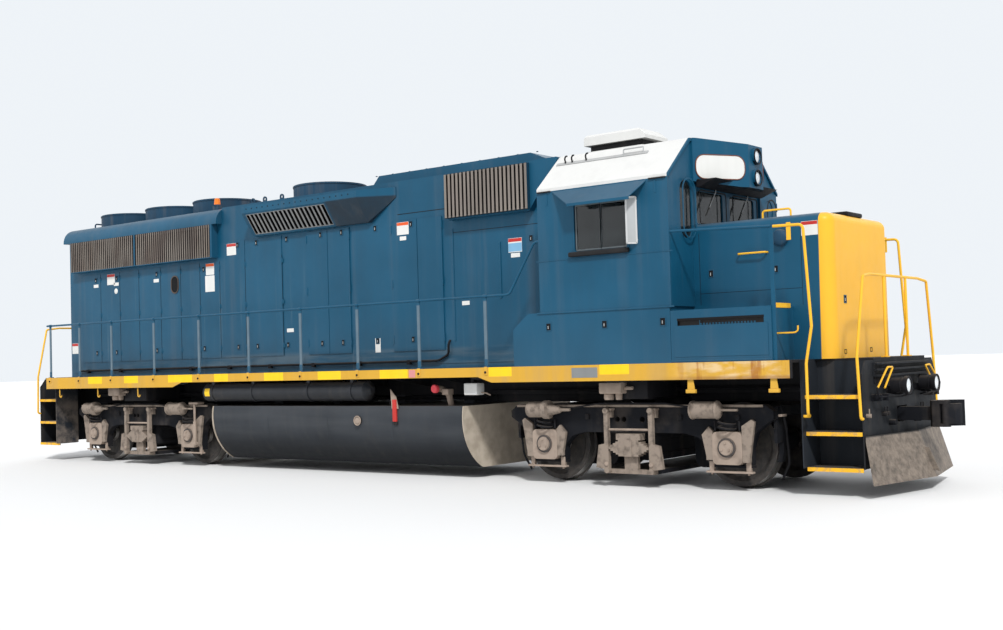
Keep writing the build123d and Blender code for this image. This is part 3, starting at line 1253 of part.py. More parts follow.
# Outline of a truck's side frame from the middle of its top to its middle below, from the truck's centre
FRAME_HALF = (
    (FRAME_END - 110, FRAME_TOP),
    (FRAME_END, FRAME_TOP - 80),
    (FRAME_END, FRAME_TOP - 170),
    (AXLE_OFFSET + 490, JAW_TOP + 60),
    (AXLE_OFFSET + 360, JAW_TOP - 40),
    (AXLE_OFFSET + PEDESTAL_HALF, JAW_TOP - 240),
    (AXLE_OFFSET + PEDESTAL_HALF, PEDESTAL_BOTTOM),
    (AXLE_OFFSET + JAW_HALF, PEDESTAL_BOTTOM),
    (AXLE_OFFSET + JAW_HALF, JAW_TOP),
    (AXLE_OFFSET - JAW_HALF, JAW_TOP),
    (AXLE_OFFSET - JAW_HALF, PEDESTAL_BOTTOM),
    (AXLE_OFFSET - PEDESTAL_HALF, PEDESTAL_BOTTOM),
    (AXLE_OFFSET - PEDESTAL_HALF, JAW_TOP - 240),
    (AXLE_OFFSET - 420, JAW_TOP - 110),
    (AXLE_OFFSET - 620, FRAME_WAIST),
)
# Liners beside each journal box, from the axle: the outer one and the inner one
LINER_T = 60.0
LINER_OUTER = (
    (JAW_HALF, PEDESTAL_BOTTOM),
    (JAW_HALF, 800.0),
    (330.0, 880.0),
    (372.0, 850.0),
    (300.0, 420.0),
    (300.0, PEDESTAL_BOTTOM),
)
LINER_INNER = (
    (-JAW_HALF, 380.0),
    (-JAW_HALF, 740.0),
    (-250.0, 790.0),
    (-345.0, 690.0),
    (-PEDESTAL_HALF, 430.0),
    (-PEDESTAL_HALF, 380.0),
)
# Brake cylinders as turned profiles: place along the truck and radius
CYLINDER_Y = -1225.0
CYLINDER_Z = 998.0
FRONT_CYLINDER = (
    (920, 0),
    (920, 60),
    (930, 95),
    (940, 115),
    (960, 118),
    (965, 105),
    (1270, 105),
    (1290, 118),
    (1310, 100),
    (1330, 40),
    (1340, 16),
    (1560, 16),
    (1560, 0),
)
REAR_CYLINDER = (
    (-1575, 0),
    (-1575, 95),
    (-1560, 105),
    (-1320, 105),
    (-1310, 125),
    (-1240, 125),
    (-1230, 80),
    (-1120, 60),
    (-1060, 45),
    (-1050, 25),
    (-900, 20),
    (-900, 0),
)
# Half lengths of the leaves in one half of an elliptic spring, and their pitch
SPRING_LEAVES = (150.0, 190.0, 230.0, 270.0, 310.0)
SPRING_PITCH = 22.0

# The two trucks, each with its frame, suspension, journal boxes, motors and brakes
for truck_x, truck in ((TRUCK_X, "truck_front"), (-TRUCK_X, "truck_rear")):
    with BuildPart() as truck_frame:
        with BuildSketch(Plane.XZ.offset(FRAME_INNER_Y)) as side_face:
            with BuildLine():
                front_half = [(truck_x + x, z) for x, z in FRAME_HALF]
                rear_half = [(truck_x - x, z) for x, z in reversed(FRAME_HALF)]
                Polyline(*front_half, *rear_half, close=True)
            make_face()
            # Cast corners above the pedestals, clear of the square jaws
            rounded = []
            for corner in side_face.vertices():
                from_axle = abs(abs(corner.X - truck_x) - AXLE_OFFSET)
                if JAW_TOP - 250 < corner.Y < JAW_TOP + 70 and from_axle > JAW_HALF + 1:
                    rounded.append(corner)
            fillet(rounded, 90)
            # Lightening holes beside the swing hangers
            with Locations(*[(truck_x + x, FRAME_TOP - 190) for x in (-240, -140, 140, 240)]):
                Circle(38, mode=Mode.SUBTRACT)
        extrude(amount=FRAME_OUTER_Y - FRAME_INNER_Y)
        # Top flange of the casting
        with Locations((truck_x, -(FRAME_INNER_Y + FRAME_OUTER_Y + 30) / 2, FRAME_TOP - 15)):
            Box(2 * FRAME_END - 240, FRAME_OUTER_Y + 30 - FRAME_INNER_Y, 30)
        # Liners beside the journal boxes and a tie bar under each
        for axle in (-1, 1):
            ax = truck_x + axle * AXLE_OFFSET
            for liner in (LINER_OUTER, LINER_INNER):
                with BuildSketch(Plane.XZ.offset(FRAME_OUTER_Y)):
                    with BuildLine():
                        Polyline(*[(ax + axle * x, z) for x, z in liner], close=True)
                    make_face()
                extrude(amount=LINER_T)
            with Locations((ax, -(FRAME_INNER_Y + FRAME_OUTER_Y) / 2, PEDESTAL_BOTTOM - 56)):
                Box(2 * PEDESTAL_HALF + 20, FRAME_OUTER_Y - FRAME_INNER_Y - 20, 28)
            for x in (-PEDESTAL_HALF + 40, PEDESTAL_HALF - 40):
                with Locations((ax + x, -(FRAME_INNER_Y + FRAME_OUTER_Y) / 2, PEDESTAL_BOTTOM - 30)):
                    Box(80, FRAME_OUTER_Y - FRAME_INNER_Y - 20, 60)
        # Brackets for the swing hangers
        for x in (-HANGER_X, HANGER_X):
            with Locations((truck_x + x, -(FRAME_OUTER_Y + HANGER_Y[0]) / 2, 950)):
                Box(110, HANGER_Y[0] - FRAME_OUTER_Y, 110)
        # Brake cylinders on the outer face, turned about their own axis
        for profile in (FRONT_CYLINDER, REAR_CYLINDER):
            with BuildSketch(Plane.XY.offset(CYLINDER_Z)):
                with BuildLine():
                    Polyline(*[(truck_x + x, CYLINDER_Y - r) for x, r in profile], close=True)
                make_face()
            revolve(axis=Axis((truck_x, CYLINDER_Y, CYLINDER_Z), (1, 0, 0)))
        for x, length in ((-1430, 180), (1120, 260)):
            with Locations((truck_x + x, -(FRAME_OUTER_Y + 60), CYLINDER_Z - 38)):
                Box(length, 130, 90)
        mirror(about=Plane.XZ)
        # Transoms between the side frames and a bar across each end
        for x in (-460, 460):
            with Locations((truck_x + x, 0, 790)):
                Box(120, 2 * FRAME_INNER_Y, 180)
        for x in (-FRAME_END + 30, FRAME_END - 30):
            with Locations((truck_x + x, 0, 970)):
                Box(60, 2 * FRAME_INNER_Y, 120)
    truck_frame.part.label = f"{truck}_frame"
    export_step(truck_frame.part, f"parts/{truck}_frame.step")

    # Swing bolster, spring plank, hangers and elliptic springs
    with BuildPart() as suspension:
        with Locations((truck_x, 0, 650)):
            Box(360, 2 * SPRING_Y[1], 80)
        with BuildSketch(Plane.XY.offset(690)):
            with Locations((truck_x, 0)):
                Rectangle(360, 1200)
        extrude(amount=300)
        with BuildSketch(Plane.XY.offset(990)):
            with Locations((truck_x, 0)):
                Circle(CENTRE_PLATE_R + 40)
        extrude(amount=CENTRE_PLATE_Z - SEAT_GAP - 990)
        with Locations((truck_x, 0, (PLANK_Z[0] + PLANK_Z[1]) / 2)):
            Box(720, 2 * HANGER_Y[0], PLANK_Z[1] - PLANK_Z[0])
        for side in (-1, 1):
            spring_y = side * (SPRING_Y[0] + SPRING_Y[1]) / 2
            for x in (-HANGER_X, HANGER_X):
                with Locations((truck_x + x, side * (HANGER_Y[0] + HANGER_Y[1]) / 2, (HANGER_Z[0] + HANGER_Z[1]) / 2)):
                    Box(60, HANGER_Y[1] - HANGER_Y[0], HANGER_Z[1] - HANGER_Z[0])
                pin_y = side * (HANGER_Y[0] + HANGER_Y[1] + 12) / 2
                for z in (HANGER_Z[0] + 24, HANGER_Z[1]):
                    with Locations(Location((truck_x + x, pin_y, z), (90, 0, 0))):
                        Cylinder(38, HANGER_Y[1] - HANGER_Y[0] + 12)
                # Wedge between the hanger and the pedestal
                out = 1 if x > 0 else -1
                with BuildSketch(Plane.XZ.offset(HANGER_Y[0] if side < 0 else -HANGER_Y[1])):
                    with BuildLine():
                        Polyline(
                            (truck_x + x + out * 30, 560),
                            (truck_x + x + out * 120, 540),
                            (truck_x + x + out * 165, 250),
                            (truck_x + x + out * 30, 230),
                            close=True,
                        )
                    make_face()
                extrude(amount=HANGER_Y[1] - HANGER_Y[0])
            # Elliptic spring: two stacks of leaves held by a band
            for number, half in enumerate(SPRING_LEAVES):
                for z in (SPRING_Z[1] - 9 - number * SPRING_PITCH, SPRING_Z[0] + 9 + number * SPRING_PITCH):
                    with Locations((truck_x, spring_y, z)):
                        Box(min(2 * half, 2 * HANGER_X - 70), SPRING_Y[1] - SPRING_Y[0], SPRING_PITCH)
            with Locations((truck_x, spring_y, (SPRING_Z[0] + SPRING_Z[1]) / 2)):
                Box(110, SPRING_Y[1] - SPRING_Y[0] + 16, SPRING_Z[1] - SPRING_Z[0] + 8)
            with Locations((truck_x, side * (SPRING_Y[0] + HANGER_Y[0]) / 2, 330)):
                Box(200, HANGER_Y[0] - SPRING_Y[0], 200)
    suspension.part.label = f"{truck}_suspension"
    export_step(suspension.part, f"parts/{truck}_suspension.step")

    # Journal boxes in the pedestals, bored for the axle ends
    with BuildPart() as journal_boxes:
        for axle in (-1, 1):
            ax = truck_x + axle * AXLE_OFFSET
            with BuildSketch(Plane.XZ.offset(BOX_Y[0])):
                with Locations((ax, (BOX_Z[0] + BOX_Z[1]) / 2)):
                    RectangleRounded(2 * BOX_HALF, BOX_Z[1] - BOX_Z[0], 60)
            extrude(amount=BOX_Y[1] - BOX_Y[0])
            # Bearing cover: a ring and a smaller cap
            for radius, thickness in ((118, 25), (88, 45)):
                with BuildSketch(Plane.XZ.offset(BOX_Y[1])):
                    with Locations((ax, AXLE_Z)):
                        Circle(radius)
                extrude(amount=thickness)
            with BuildSketch(Plane.XZ.offset(BOX_Y[0])):
                with Locations((ax, AXLE_Z)):
                    Circle(JOURNAL_R + RUNNING_GAP)
            extrude(amount=150, mode=Mode.SUBTRACT)
        mirror(about=Plane.XZ)
    journal_boxes.part.label = f"{truck}_journal_boxes"
    export_step(journal_boxes.part, f"parts/{truck}_journal_boxes.step")

    # Traction motors hung on the axles, nose towards the transom
    with BuildPart() as motors:
        for axle in (-1, 1):
            ax = truck_x + axle * AXLE_OFFSET
            mx = truck_x + axle * (AXLE_OFFSET - 470)
            with BuildSketch(Plane.XZ.offset(-560)):
                with Locations((mx, AXLE_Z)):
                    RectangleRounded(620, 620, 120)
            extrude(amount=1120)
            with BuildSketch(Plane.XZ.offset(-560)):
                with Locations((ax, AXLE_Z)):
                    Circle(AXLE_R + 60)
            extrude(amount=1120)
            with BuildSketch(Plane.XZ.offset(-600)):
                with Locations((ax, AXLE_Z)):
                    Circle(AXLE_R + RUNNING_GAP)
            extrude(amount=1200, mode=Mode.SUBTRACT)
    motors.part.label = f"{truck}_motors"
    export_step(motors.part, f"parts/{truck}_motors.step")

    # Brake shoes on the outer side of each wheel, hung from the frame
    with BuildPart() as brakes:
        for axle in (-1, 1):
            ax = truck_x + axle * AXLE_OFFSET
            with BuildSketch(Plane.XZ.offset(WHEEL_BACK + FLANGE_WIDTH + 15)):
                with Locations((ax, AXLE_Z)):
                    Circle(WHEEL_R + 70)
                    Circle(WHEEL_R + 10, mode=Mode.SUBTRACT)
                with Locations((ax + axle * 600 - axle * 1300, AXLE_Z)):
                    Rectangle(1700, 2000, mode=Mode.SUBTRACT)
                with Locations((ax, AXLE_Z + 690), (ax, AXLE_Z - 690)):
                    Rectangle(2000, 1000, mode=Mode.SUBTRACT)
            extrude(amount=90)
            with Locations((ax + axle * 560, -860, 747)):
                Box(40, 2 * (FRAME_INNER_Y - 860), 316)
        mirror(about=Plane.XZ)
    brakes.part.label = f"{truck}_brakes"
    export_step(brakes.part, f"parts/{truck}_brakes.step")

# Wheelsets: two flanged wheels on one axle
for axle_x, wheelset_name in (
    (TRUCK_X + AXLE_OFFSET, "wheelset_1"),
    (TRUCK_X - AXLE_OFFSET, "wheelset_2"),
    (-TRUCK_X + AXLE_OFFSET, "wheelset_3"),
    (-TRUCK_X - AXLE_OFFSET, "wheelset_4"),
):
    with BuildPart() as wheelset:
        with BuildSketch(Plane.YZ.offset(axle_x)):
            with BuildLine():
                Polyline(
                    (0, AXLE_Z),
                    (0, AXLE_Z + AXLE_R),
                    (WHEEL_BACK, AXLE_Z + AXLE_R),
                    (WHEEL_BACK, AXLE_Z + 130),
                    (WHEEL_BACK + 30, AXLE_Z + 150),
                    (WHEEL_BACK + 55, AXLE_Z + 390),
                    (WHEEL_BACK, AXLE_Z + 440),
                    (WHEEL_BACK, AXLE_Z + WHEEL_R + FLANGE - 12),
                    (WHEEL_BACK + 10, AXLE_Z + WHEEL_R + FLANGE),
                    (WHEEL_BACK + 20, AXLE_Z + WHEEL_R + FLANGE - 4),
                    (WHEEL_BACK + FLANGE_WIDTH, AXLE_Z + WHEEL_R + 2),
                    (WHEEL_BACK + WHEEL_WIDTH, AXLE_Z + WHEEL_R - 5),
                    (WHEEL_BACK + WHEEL_WIDTH, AXLE_Z + 440),
                    (WHEEL_BACK + 85, AXLE_Z + 390),
                    (WHEEL_BACK + 85, AXLE_Z + 160),
                    (WHEEL_BACK + WHEEL_WIDTH, AXLE_Z + 140),
                    (WHEEL_BACK + WHEEL_WIDTH, AXLE_Z + JOURNAL_R + 10),
                    (950, AXLE_Z + JOURNAL_R),
                    (1100, AXLE_Z + JOURNAL_R),
                    (1100, AXLE_Z),
                    close=True,
                )
            make_face()
        revolve(axis=Axis((axle_x, 0, AXLE_Z), (0, 1, 0)))
        mirror(about=Plane.XZ)
    wheelset.part.label = wheelset_name
    export_step(wheelset.part, f"parts/{wheelset_name}.step")

# Couplers: shank, head with guard arm, and two lugs that hold the knuckle
for end, end_name in ((1, "front"), (-1, "rear")):
    with BuildPart() as coupler:
        with BuildSketch(Plane.XY.offset(COUPLER_Z - SHANK_Z)):
            with Locations((end * (COUPLER_PIN_X + COUPLER_REACH - 330) / 2, 0)):
                Rectangle(COUPLER_REACH - 330 - COUPLER_PIN_X, 2 * SHANK_Y)
            with Locations((end * COUPLER_PIN_X, 0)):
                Circle(SHANK_Y)
        extrude(amount=2 * SHANK_Z)
        with BuildSketch(Plane.XY.offset(COUPLER_Z - SHANK_Z)):
            with Locations((end * COUPLER_PIN_X, 0)):
                Circle(COUPLER_PIN_R + RUNNING_GAP)
        extrude(amount=2 * SHANK_Z, mode=Mode.SUBTRACT)
        # Head: back wall and guard arm
        with BuildSketch(Plane.XY.offset(COUPLER_Z - KNUCKLE_HALF - LUG_T)):
            with BuildLine():
                face = COUPLER_REACH
                Polyline(
                    (end * (face - 350), -end * 65),
                    (end * (face - 300), -end * 150),
                    (end * (face - 215), -end * 165),
                    (end * (face - 215), end * 60),
                    (end * (face - 110), end * 110),
                    (end * (face - 20), end * 175),
                    (end * (face - 60), end * 205),
                    (end * (face - 240), end * 150),
                    (end * (face - 350), end * 65),
                    close=True,
                )
            make_face()
        extrude(amount=2 * (KNUCKLE_HALF + LUG_T))
        # Lugs above and below the knuckle
        for z in (COUPLER_Z + KNUCKLE_HALF, COUPLER_Z - KNUCKLE_HALF - LUG_T):
            with BuildSketch(Plane.XY.offset(z)):
                with Locations((end * KNUCKLE_X, -end * KNUCKLE_Y)):
                    Circle(52)
                with Locations((end * (KNUCKLE_X + face - 215) / 2, -end * KNUCKLE_Y)):
                    Rectangle(KNUCKLE_X - face + 215, 104)
            extrude(amount=LUG_T)
        with Locations((end * KNUCKLE_X, -end * KNUCKLE_Y, COUPLER_Z)):
            Cylinder(KNUCKLE_PIN_R, 2 * KNUCKLE_HALF)
    coupler.part.label = f"coupler_{end_name}"
    export_step(coupler.part, f"parts/coupler_{end_name}.step")

    # Knuckle: hub and hooked nose
    with BuildPart() as knuckle:
        with BuildSketch(Plane.XY.offset(COUPLER_Z - KNUCKLE_HALF + 1)):
            with Locations((end * KNUCKLE_X, -end * KNUCKLE_Y)):
                Circle(48)
            with BuildLine():
                Polyline(
                    (end * (face - 155), -end * 142),
                    (end * (face - 40), -end * 120),
                    (end * face, -end * 70),
                    (end * face, end * 20),
                    (end * (face - 40), end * 40),
                    (end * (face - 72), end * 30),
                    (end * (face - 80), -end * 40),
                    (end * (face - 130), -end * 55),
                    close=True,
                )
            make_face()
            with Locations((end * KNUCKLE_X, -end * KNUCKLE_Y)):
                Circle(KNUCKLE_PIN_R + RUNNING_GAP, mode=Mode.SUBTRACT)
        extrude(amount=2 * KNUCKLE_HALF - 2)
    knuckle.part.label = f"knuckle_{end_name}"
    export_step(knuckle.part, f"parts/knuckle_{end_name}.step")
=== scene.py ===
import math

import bpy
from mathutils import Matrix, Vector


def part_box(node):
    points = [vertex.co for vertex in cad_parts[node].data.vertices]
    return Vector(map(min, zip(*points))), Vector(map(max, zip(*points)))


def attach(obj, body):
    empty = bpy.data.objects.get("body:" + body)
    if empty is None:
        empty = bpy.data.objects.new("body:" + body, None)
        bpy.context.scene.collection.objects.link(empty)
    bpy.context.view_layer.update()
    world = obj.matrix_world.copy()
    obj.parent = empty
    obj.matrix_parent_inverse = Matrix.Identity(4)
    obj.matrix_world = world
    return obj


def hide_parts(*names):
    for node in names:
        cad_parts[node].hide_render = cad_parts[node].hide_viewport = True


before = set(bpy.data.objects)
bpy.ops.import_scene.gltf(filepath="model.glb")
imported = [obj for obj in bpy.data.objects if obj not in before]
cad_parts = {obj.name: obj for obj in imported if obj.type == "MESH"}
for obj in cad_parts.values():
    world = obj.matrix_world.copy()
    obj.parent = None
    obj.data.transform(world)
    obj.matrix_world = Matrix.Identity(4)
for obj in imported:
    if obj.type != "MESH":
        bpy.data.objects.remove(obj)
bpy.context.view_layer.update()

# Everything is in metres in the part's frame: +X forward, +Y left, +Z up from the flange tips.
RAIL = 0.028
SILL_Y = 1.524
HOOD_Y = 0.925
RAIL_Y = 1.499
HOOD_TOP = 4.438
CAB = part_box("cab_shell")
CAB_REAR, CAB_FRONT = CAB[0][0], CAB[1][0]
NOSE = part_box("short_hood")
NOSE_FACE = NOSE[1][0]
NOSE_Y = 0.925
SIDES = (-1, 1)
FORWARD, BACKWARD, RIGHTWARD, UPWARD = (1, 0, 0), (-1, 0, 0), (0, -1, 0), (0, 0, 1)
SUNK = 0.001
SHADOW = (0.006, 0.006, 0.007)

# Trucks, grilles, blister and slots that finishes and pieces share
TRUCK_X, AXLES, BOX_Z = 5.1815, (-1.3715, 1.3715), 0.536
RADIATOR_X, RADIATOR_Z, RADIATOR_FACE = (-7.410, -5.400, -3.210), (3.583, 4.158), 1.060
RADIATOR_PITCH, RADIATOR_RIM = 0.060, 0.050
INTAKE_X, INTAKE_Z, INTAKE_FACE = (2.090, 3.590), (3.758, 4.398), 1.100
INTAKE_GROUND, INTAKE_PITCH = 1.035, 0.07289
BLISTER_FOOT, BLISTER_SLANT = (1.000, 3.860), 0.6793
SLATS_X, SLATS_Z = (-2.120, -0.276), (3.888, 4.200)
AC_SLOT = (4.5365, 4.6185)
LOUVRE_X, LOUVRE_Z = (6.122, 7.278), (2.036, 2.100)


# Modelling by hand moves

def deselect():
    """Clears the selection."""
    bpy.ops.object.select_all(action="DESELECT")


def hold(obj):
    """Selects one object alone and makes it active."""
    deselect()
    obj.select_set(True)
    bpy.context.view_layer.objects.active = obj
    return obj


def settle(obj):
    """Puts a piece's place, turn and scale into its mesh."""
    hold(obj)
    bpy.ops.object.transform_apply(location=True, rotation=True, scale=True)
    return obj


def open_mesh(obj, kind="VERT"):
    """Starts editing a piece with all of it selected."""
    hold(obj)
    bpy.context.tool_settings.mesh_select_mode = [kind == each for each in ("VERT", "EDGE", "FACE")]
    bpy.ops.object.mode_set(mode="EDIT")
    bpy.ops.mesh.select_all(action="SELECT")


def close_mesh():
    """Ends editing."""
    bpy.ops.object.mode_set(mode="OBJECT")


def open_faces(obj, facing):
    """Starts editing with only the faces selected that look one way."""
    facing = Vector(facing).normalized()
    open_mesh(obj, "FACE")
    bpy.ops.mesh.select_all(action="DESELECT")
    close_mesh()
    for face in obj.data.polygons:
        face.select = face.normal.dot(facing) > 0.999
    bpy.ops.object.mode_set(mode="EDIT")


def block(lo, hi, edge=0.004, rounds=1):
    """A box between two corners with eased edges."""
    middle = [(a + b) / 2 for a, b in zip(lo, hi)]
    bpy.ops.mesh.primitive_cube_add(size=1, location=middle)
    obj = bpy.context.object
    obj.scale = [abs(b - a) for a, b in zip(lo, hi)]
    settle(obj)
    open_mesh(obj)
    bpy.ops.mesh.bevel(offset=edge, segments=rounds, affect="EDGES")
    close_mesh()
    return obj


def plate(centre, size, edge=0.003, rounds=1):
    """A box about its centre with eased edges."""
    lo = [c - s / 2 for c, s in zip(centre, size)]
    hi = [c + s / 2 for c, s in zip(centre, size)]
    return block(lo, hi, edge, rounds)


def applied(xs, zs, face, proud, edge=0.001, rounds=1, sunk=SUNK):
    """A strip on the right-hand wall at face, between two X and two Z, that stands proud of it."""
    return block((xs[0], -face - proud, zs[0]), (xs[1], -face + sunk, zs[1]), edge, rounds)


def dish(obj, facing, rim, depth):
    """Presses the face that looks one way inwards inside a rim; a negative depth raises it."""
    open_faces(obj, facing)
    bpy.ops.mesh.inset(thickness=rim, depth=0)
    bpy.ops.mesh.inset(thickness=abs(depth) * 0.3, depth=-depth)
    close_mesh()
    return obj


def rod(a, b, radius, sides=10, edge=0.0):
    """A round bar from a to b, with its end rims eased."""
    a, b = Vector(a), Vector(b)
    turn = (b - a).to_track_quat("Z", "Y").to_euler()
    bpy.ops.mesh.primitive_cylinder_add(
        vertices=sides, radius=radius, depth=(b - a).length, location=(a + b) / 2, rotation=turn)
    obj = settle(bpy.context.object)
    if edge:
        for way in (b - a, a - b):
            open_faces(obj, way)
            bpy.ops.mesh.bevel(offset=edge, segments=2, affect="EDGES")
            close_mesh()
    return obj


def chain(points):
    """A line of vertices drawn from point to point."""
    bpy.ops.mesh.primitive_plane_add(size=0.01, location=points[0])
    obj = settle(bpy.context.object)
    open_mesh(obj)
    bpy.ops.mesh.merge(type="CENTER")
    for start, end in zip(points, points[1:]):
        bpy.ops.mesh.extrude_region_move(TRANSFORM_OT_translate={"value": Vector(end) - Vector(start)})
    close_mesh()
    return obj


def pipe(points, radius, bend=0.06, sides=8, arc=4):
    """A bent tube through the points, with each corner rounded."""
    obj = chain(points)
    if len(points) > 2:
        open_mesh(obj)
        bpy.ops.mesh.select_all(action="DESELECT")
        close_mesh()
        for vertex in obj.data.vertices:
            vertex.select = any((vertex.co - Vector(p)).length < 0.0005 for p in points[1:-1])
        bpy.ops.object.mode_set(mode="EDIT")
        bpy.ops.mesh.bevel(offset=bend, segments=arc, affect="VERTICES")
        close_mesh()
    bpy.ops.object.convert(target="CURVE")
    obj = bpy.context.object
    obj.data.bevel_depth = radius
    obj.data.bevel_resolution = max(0, sides // 4 - 1)
    obj.data.use_fill_caps = True
    bpy.ops.object.convert(target="MESH")
    return bpy.context.object


def lathe(profile, centre, axis="X", steps=24):
    """Turns pairs of (distance along the axis, radius) about an axis through centre."""
    along = Vector({"X": (1, 0, 0), "Y": (0, 1, 0), "Z": (0, 0, 1)}[axis[-1]])
    if axis[0] == "-":
        along = -along
    out = Vector((1, 0, 0)) if axis[-1] == "Z" else Vector((0, 0, 1))
    centre = Vector(centre)
    obj = chain([centre + along * s + out * r for s, r in profile])
    open_mesh(obj)
    bpy.ops.mesh.spin(steps=steps, angle=2 * math.pi, center=centre, axis=along)
    bpy.ops.mesh.select_all(action="SELECT")
    bpy.ops.mesh.remove_doubles(threshold=0.0002)
    bpy.ops.mesh.normals_make_consistent(inside=False)
    close_mesh()
    return obj


def stud(centre, radius, straight, height, crown, axis, steps=20, start=0.0):
    """A round head with straight sides and a taper to its crown."""
    profile = [(start, 0.0), (start, radius), (straight, radius), (height, crown), (height, 0.0)]
    return lathe(profile, centre, axis, steps)


def slab(points, push, edge=0.0):
    """A flat outline of 3-D points, thickened by the vector push."""
    obj = chain(points)
    open_mesh(obj)
    bpy.ops.mesh.edge_face_add()
    bpy.ops.mesh.extrude_region_move(TRANSFORM_OT_translate={"value": push})
    bpy.ops.mesh.select_all(action="SELECT")
    bpy.ops.mesh.normals_make_consistent(inside=False)
    if edge:
        bpy.ops.mesh.bevel(offset=edge, segments=1, affect="EDGES")
    close_mesh()
    return obj


def panel(centre, facing, wide, high, corner, thick, rim=0.0, edge=0.0):
    """An upright rounded rectangle that looks one level way, or only its rim, thickened that way."""
    facing = Vector(facing).normalized()
    up = Vector(UPWARD)
    bpy.ops.mesh.primitive_plane_add(size=1, location=centre)
    obj = bpy.context.object
    obj.rotation_euler = Matrix((up.cross(facing), up, facing)).transposed().to_euler()
    obj.scale = (wide, high, 1)
    settle(obj)
    open_mesh(obj)
    roundest = min(wide, high) / 2 - 0.0005
    bpy.ops.mesh.bevel(offset=min(corner, roundest), segments=5, affect="VERTICES")
    bpy.ops.mesh.select_mode(type="FACE")
    if rim:
        bpy.ops.mesh.inset(thickness=rim, depth=0)
        bpy.ops.mesh.delete(type="FACE")
        bpy.ops.mesh.select_all(action="SELECT")
    bpy.ops.mesh.extrude_region_move(TRANSFORM_OT_translate={"value": facing * thick})
    bpy.ops.mesh.select_all(action="SELECT")
    bpy.ops.mesh.normals_make_consistent(inside=False)
    close_mesh()
    if edge:
        open_faces(obj, facing)
        bpy.ops.mesh.bevel(offset=edge, segments=1, affect="EDGES")
        close_mesh()
    return obj


def ring(centre, radius, thick, axis="Z", around=32, sides=6):
    """A round wire bent into a circle about an axis."""
    turn = {"Z": (0, 0, 0), "X": (0, math.pi / 2, 0), "Y": (math.pi / 2, 0, 0)}[axis]
    bpy.ops.mesh.primitive_torus_add(
        location=centre, rotation=turn, major_radius=radius, minor_radius=thick, major_segments=around,
        minor_segments=sides)
    obj = settle(bpy.context.object)
    open_mesh(obj)
    bpy.ops.mesh.normals_make_consistent(inside=False)
    close_mesh()
    return obj


def twin(obj):
    """A copy with a mesh of its own."""
    made = obj.copy()
    made.data = obj.data.copy()
    bpy.context.scene.collection.objects.link(made)
    return made


def copies(parts, moves):
    """Copies of finished forms at each move; the patterns themselves go."""
    made = []
    for move in moves:
        for obj in parts:
            made.append(twin(obj))
            made[-1].data.transform(Matrix.Translation(move))
    for obj in parts:
        bpy.data.objects.remove(obj)
    return made


def across(parts):
    """The parts and their mirror images on the other side of the locomotive."""
    made = list(parts)
    for obj in parts:
        made.append(twin(obj))
        made[-1].data.transform(Matrix.Scale(-1, 4, (0, 1, 0)))
        made[-1].data.flip_normals()
    return made


def turned(parts, angle, centre, axis="Z"):
    """Turns forms about an axis through centre."""
    centre = Vector(centre)
    turn = Matrix.Translation(centre) @ Matrix.Rotation(angle, 4, axis) @ Matrix.Translation(-centre)
    for obj in parts:
        obj.data.transform(turn)
    return parts


def paint(parts, finish):
    """Gives forms their finish before they are joined."""
    for obj in parts:
        obj.data.materials.clear()
        obj.data.materials.append(finish)
    return parts


def piece(name, parts, finish=None, body="carbody", stands_for=(), smooth=35):
    """Joins forms into one named piece that rides on a body; the finish goes on forms that have none."""
    for obj in parts:
        if not obj.data.materials:
            obj.data.materials.append(finish)
    deselect()
    for obj in parts:
        obj.select_set(True)
    bpy.context.view_layer.objects.active = parts[0]
    if len(parts) > 1:
        bpy.ops.object.join()
    obj = bpy.context.view_layer.objects.active
    obj.name = name
    obj.data.name = name
    hold(obj)
    bpy.ops.object.shade_smooth_by_angle(angle=math.radians(smooth))
    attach(obj, body)
    if stands_for:
        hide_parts(*stands_for)
    deselect()
    return obj


# Shader maths

class Field:
    """A value that varies over a surface; operators on it add Math nodes."""

    def __init__(self, nodes, socket):
        self.nodes = nodes
        self.socket = socket

    def _math(self, operation, first, second=None):
        node = self.nodes.node("ShaderNodeMath", {0: first, 1: second}, operation=operation)
        return Field(self.nodes, node.outputs[0])

    def __add__(self, other):
        return self._math("ADD", self, other)

    __radd__ = __add__

    def __mul__(self, other):
        return self._math("MULTIPLY", self, other)

    __rmul__ = __mul__

    def __sub__(self, other):
        return self._math("SUBTRACT", self, other)

    def __rsub__(self, other):
        return self._math("SUBTRACT", other, self)

    def __abs__(self):
        return self._math("ABSOLUTE", self)

    def __or__(self, other):
        """The larger of the two values."""
        return self._math("MAXIMUM", self, other)

    def over(self, edge, soft=0.001):
        """1 where the value is over the edge, 0 under it, with a soft step between."""
        node = self.nodes.node(
            "ShaderNodeMapRange", {"Value": self, "From Min": edge - soft, "From Max": edge + soft},
            interpolation_type="SMOOTHSTEP")
        return Field(self.nodes, node.outputs[0])

    def within(self, low, high, soft=0.001):
        """1 between two values."""
        return self.over(low, soft) * (1 - self.over(high, soft))


class Nodes:
    """A node tree, of a material or of the world."""

    def __init__(self, tree):
        self.tree = tree

    def fill(self, node, sockets):
        """Gives a node's sockets their values or links; None leaves a socket alone."""
        for key, value in sockets.items():
            if isinstance(value, Field):
                value = value.socket
            if isinstance(value, bpy.types.NodeSocket):
                self.tree.links.new(value, node.inputs[key])
            elif value is not None:
                node.inputs[key].default_value = value

    def node(self, kind, sockets=None, **settings):
        """Adds a node: its settings first, then the values or links of its sockets."""
        node = self.tree.nodes.new(kind)
        for key, value in settings.items():
            setattr(node, key, value)
        self.fill(node, sockets or {})
        return node


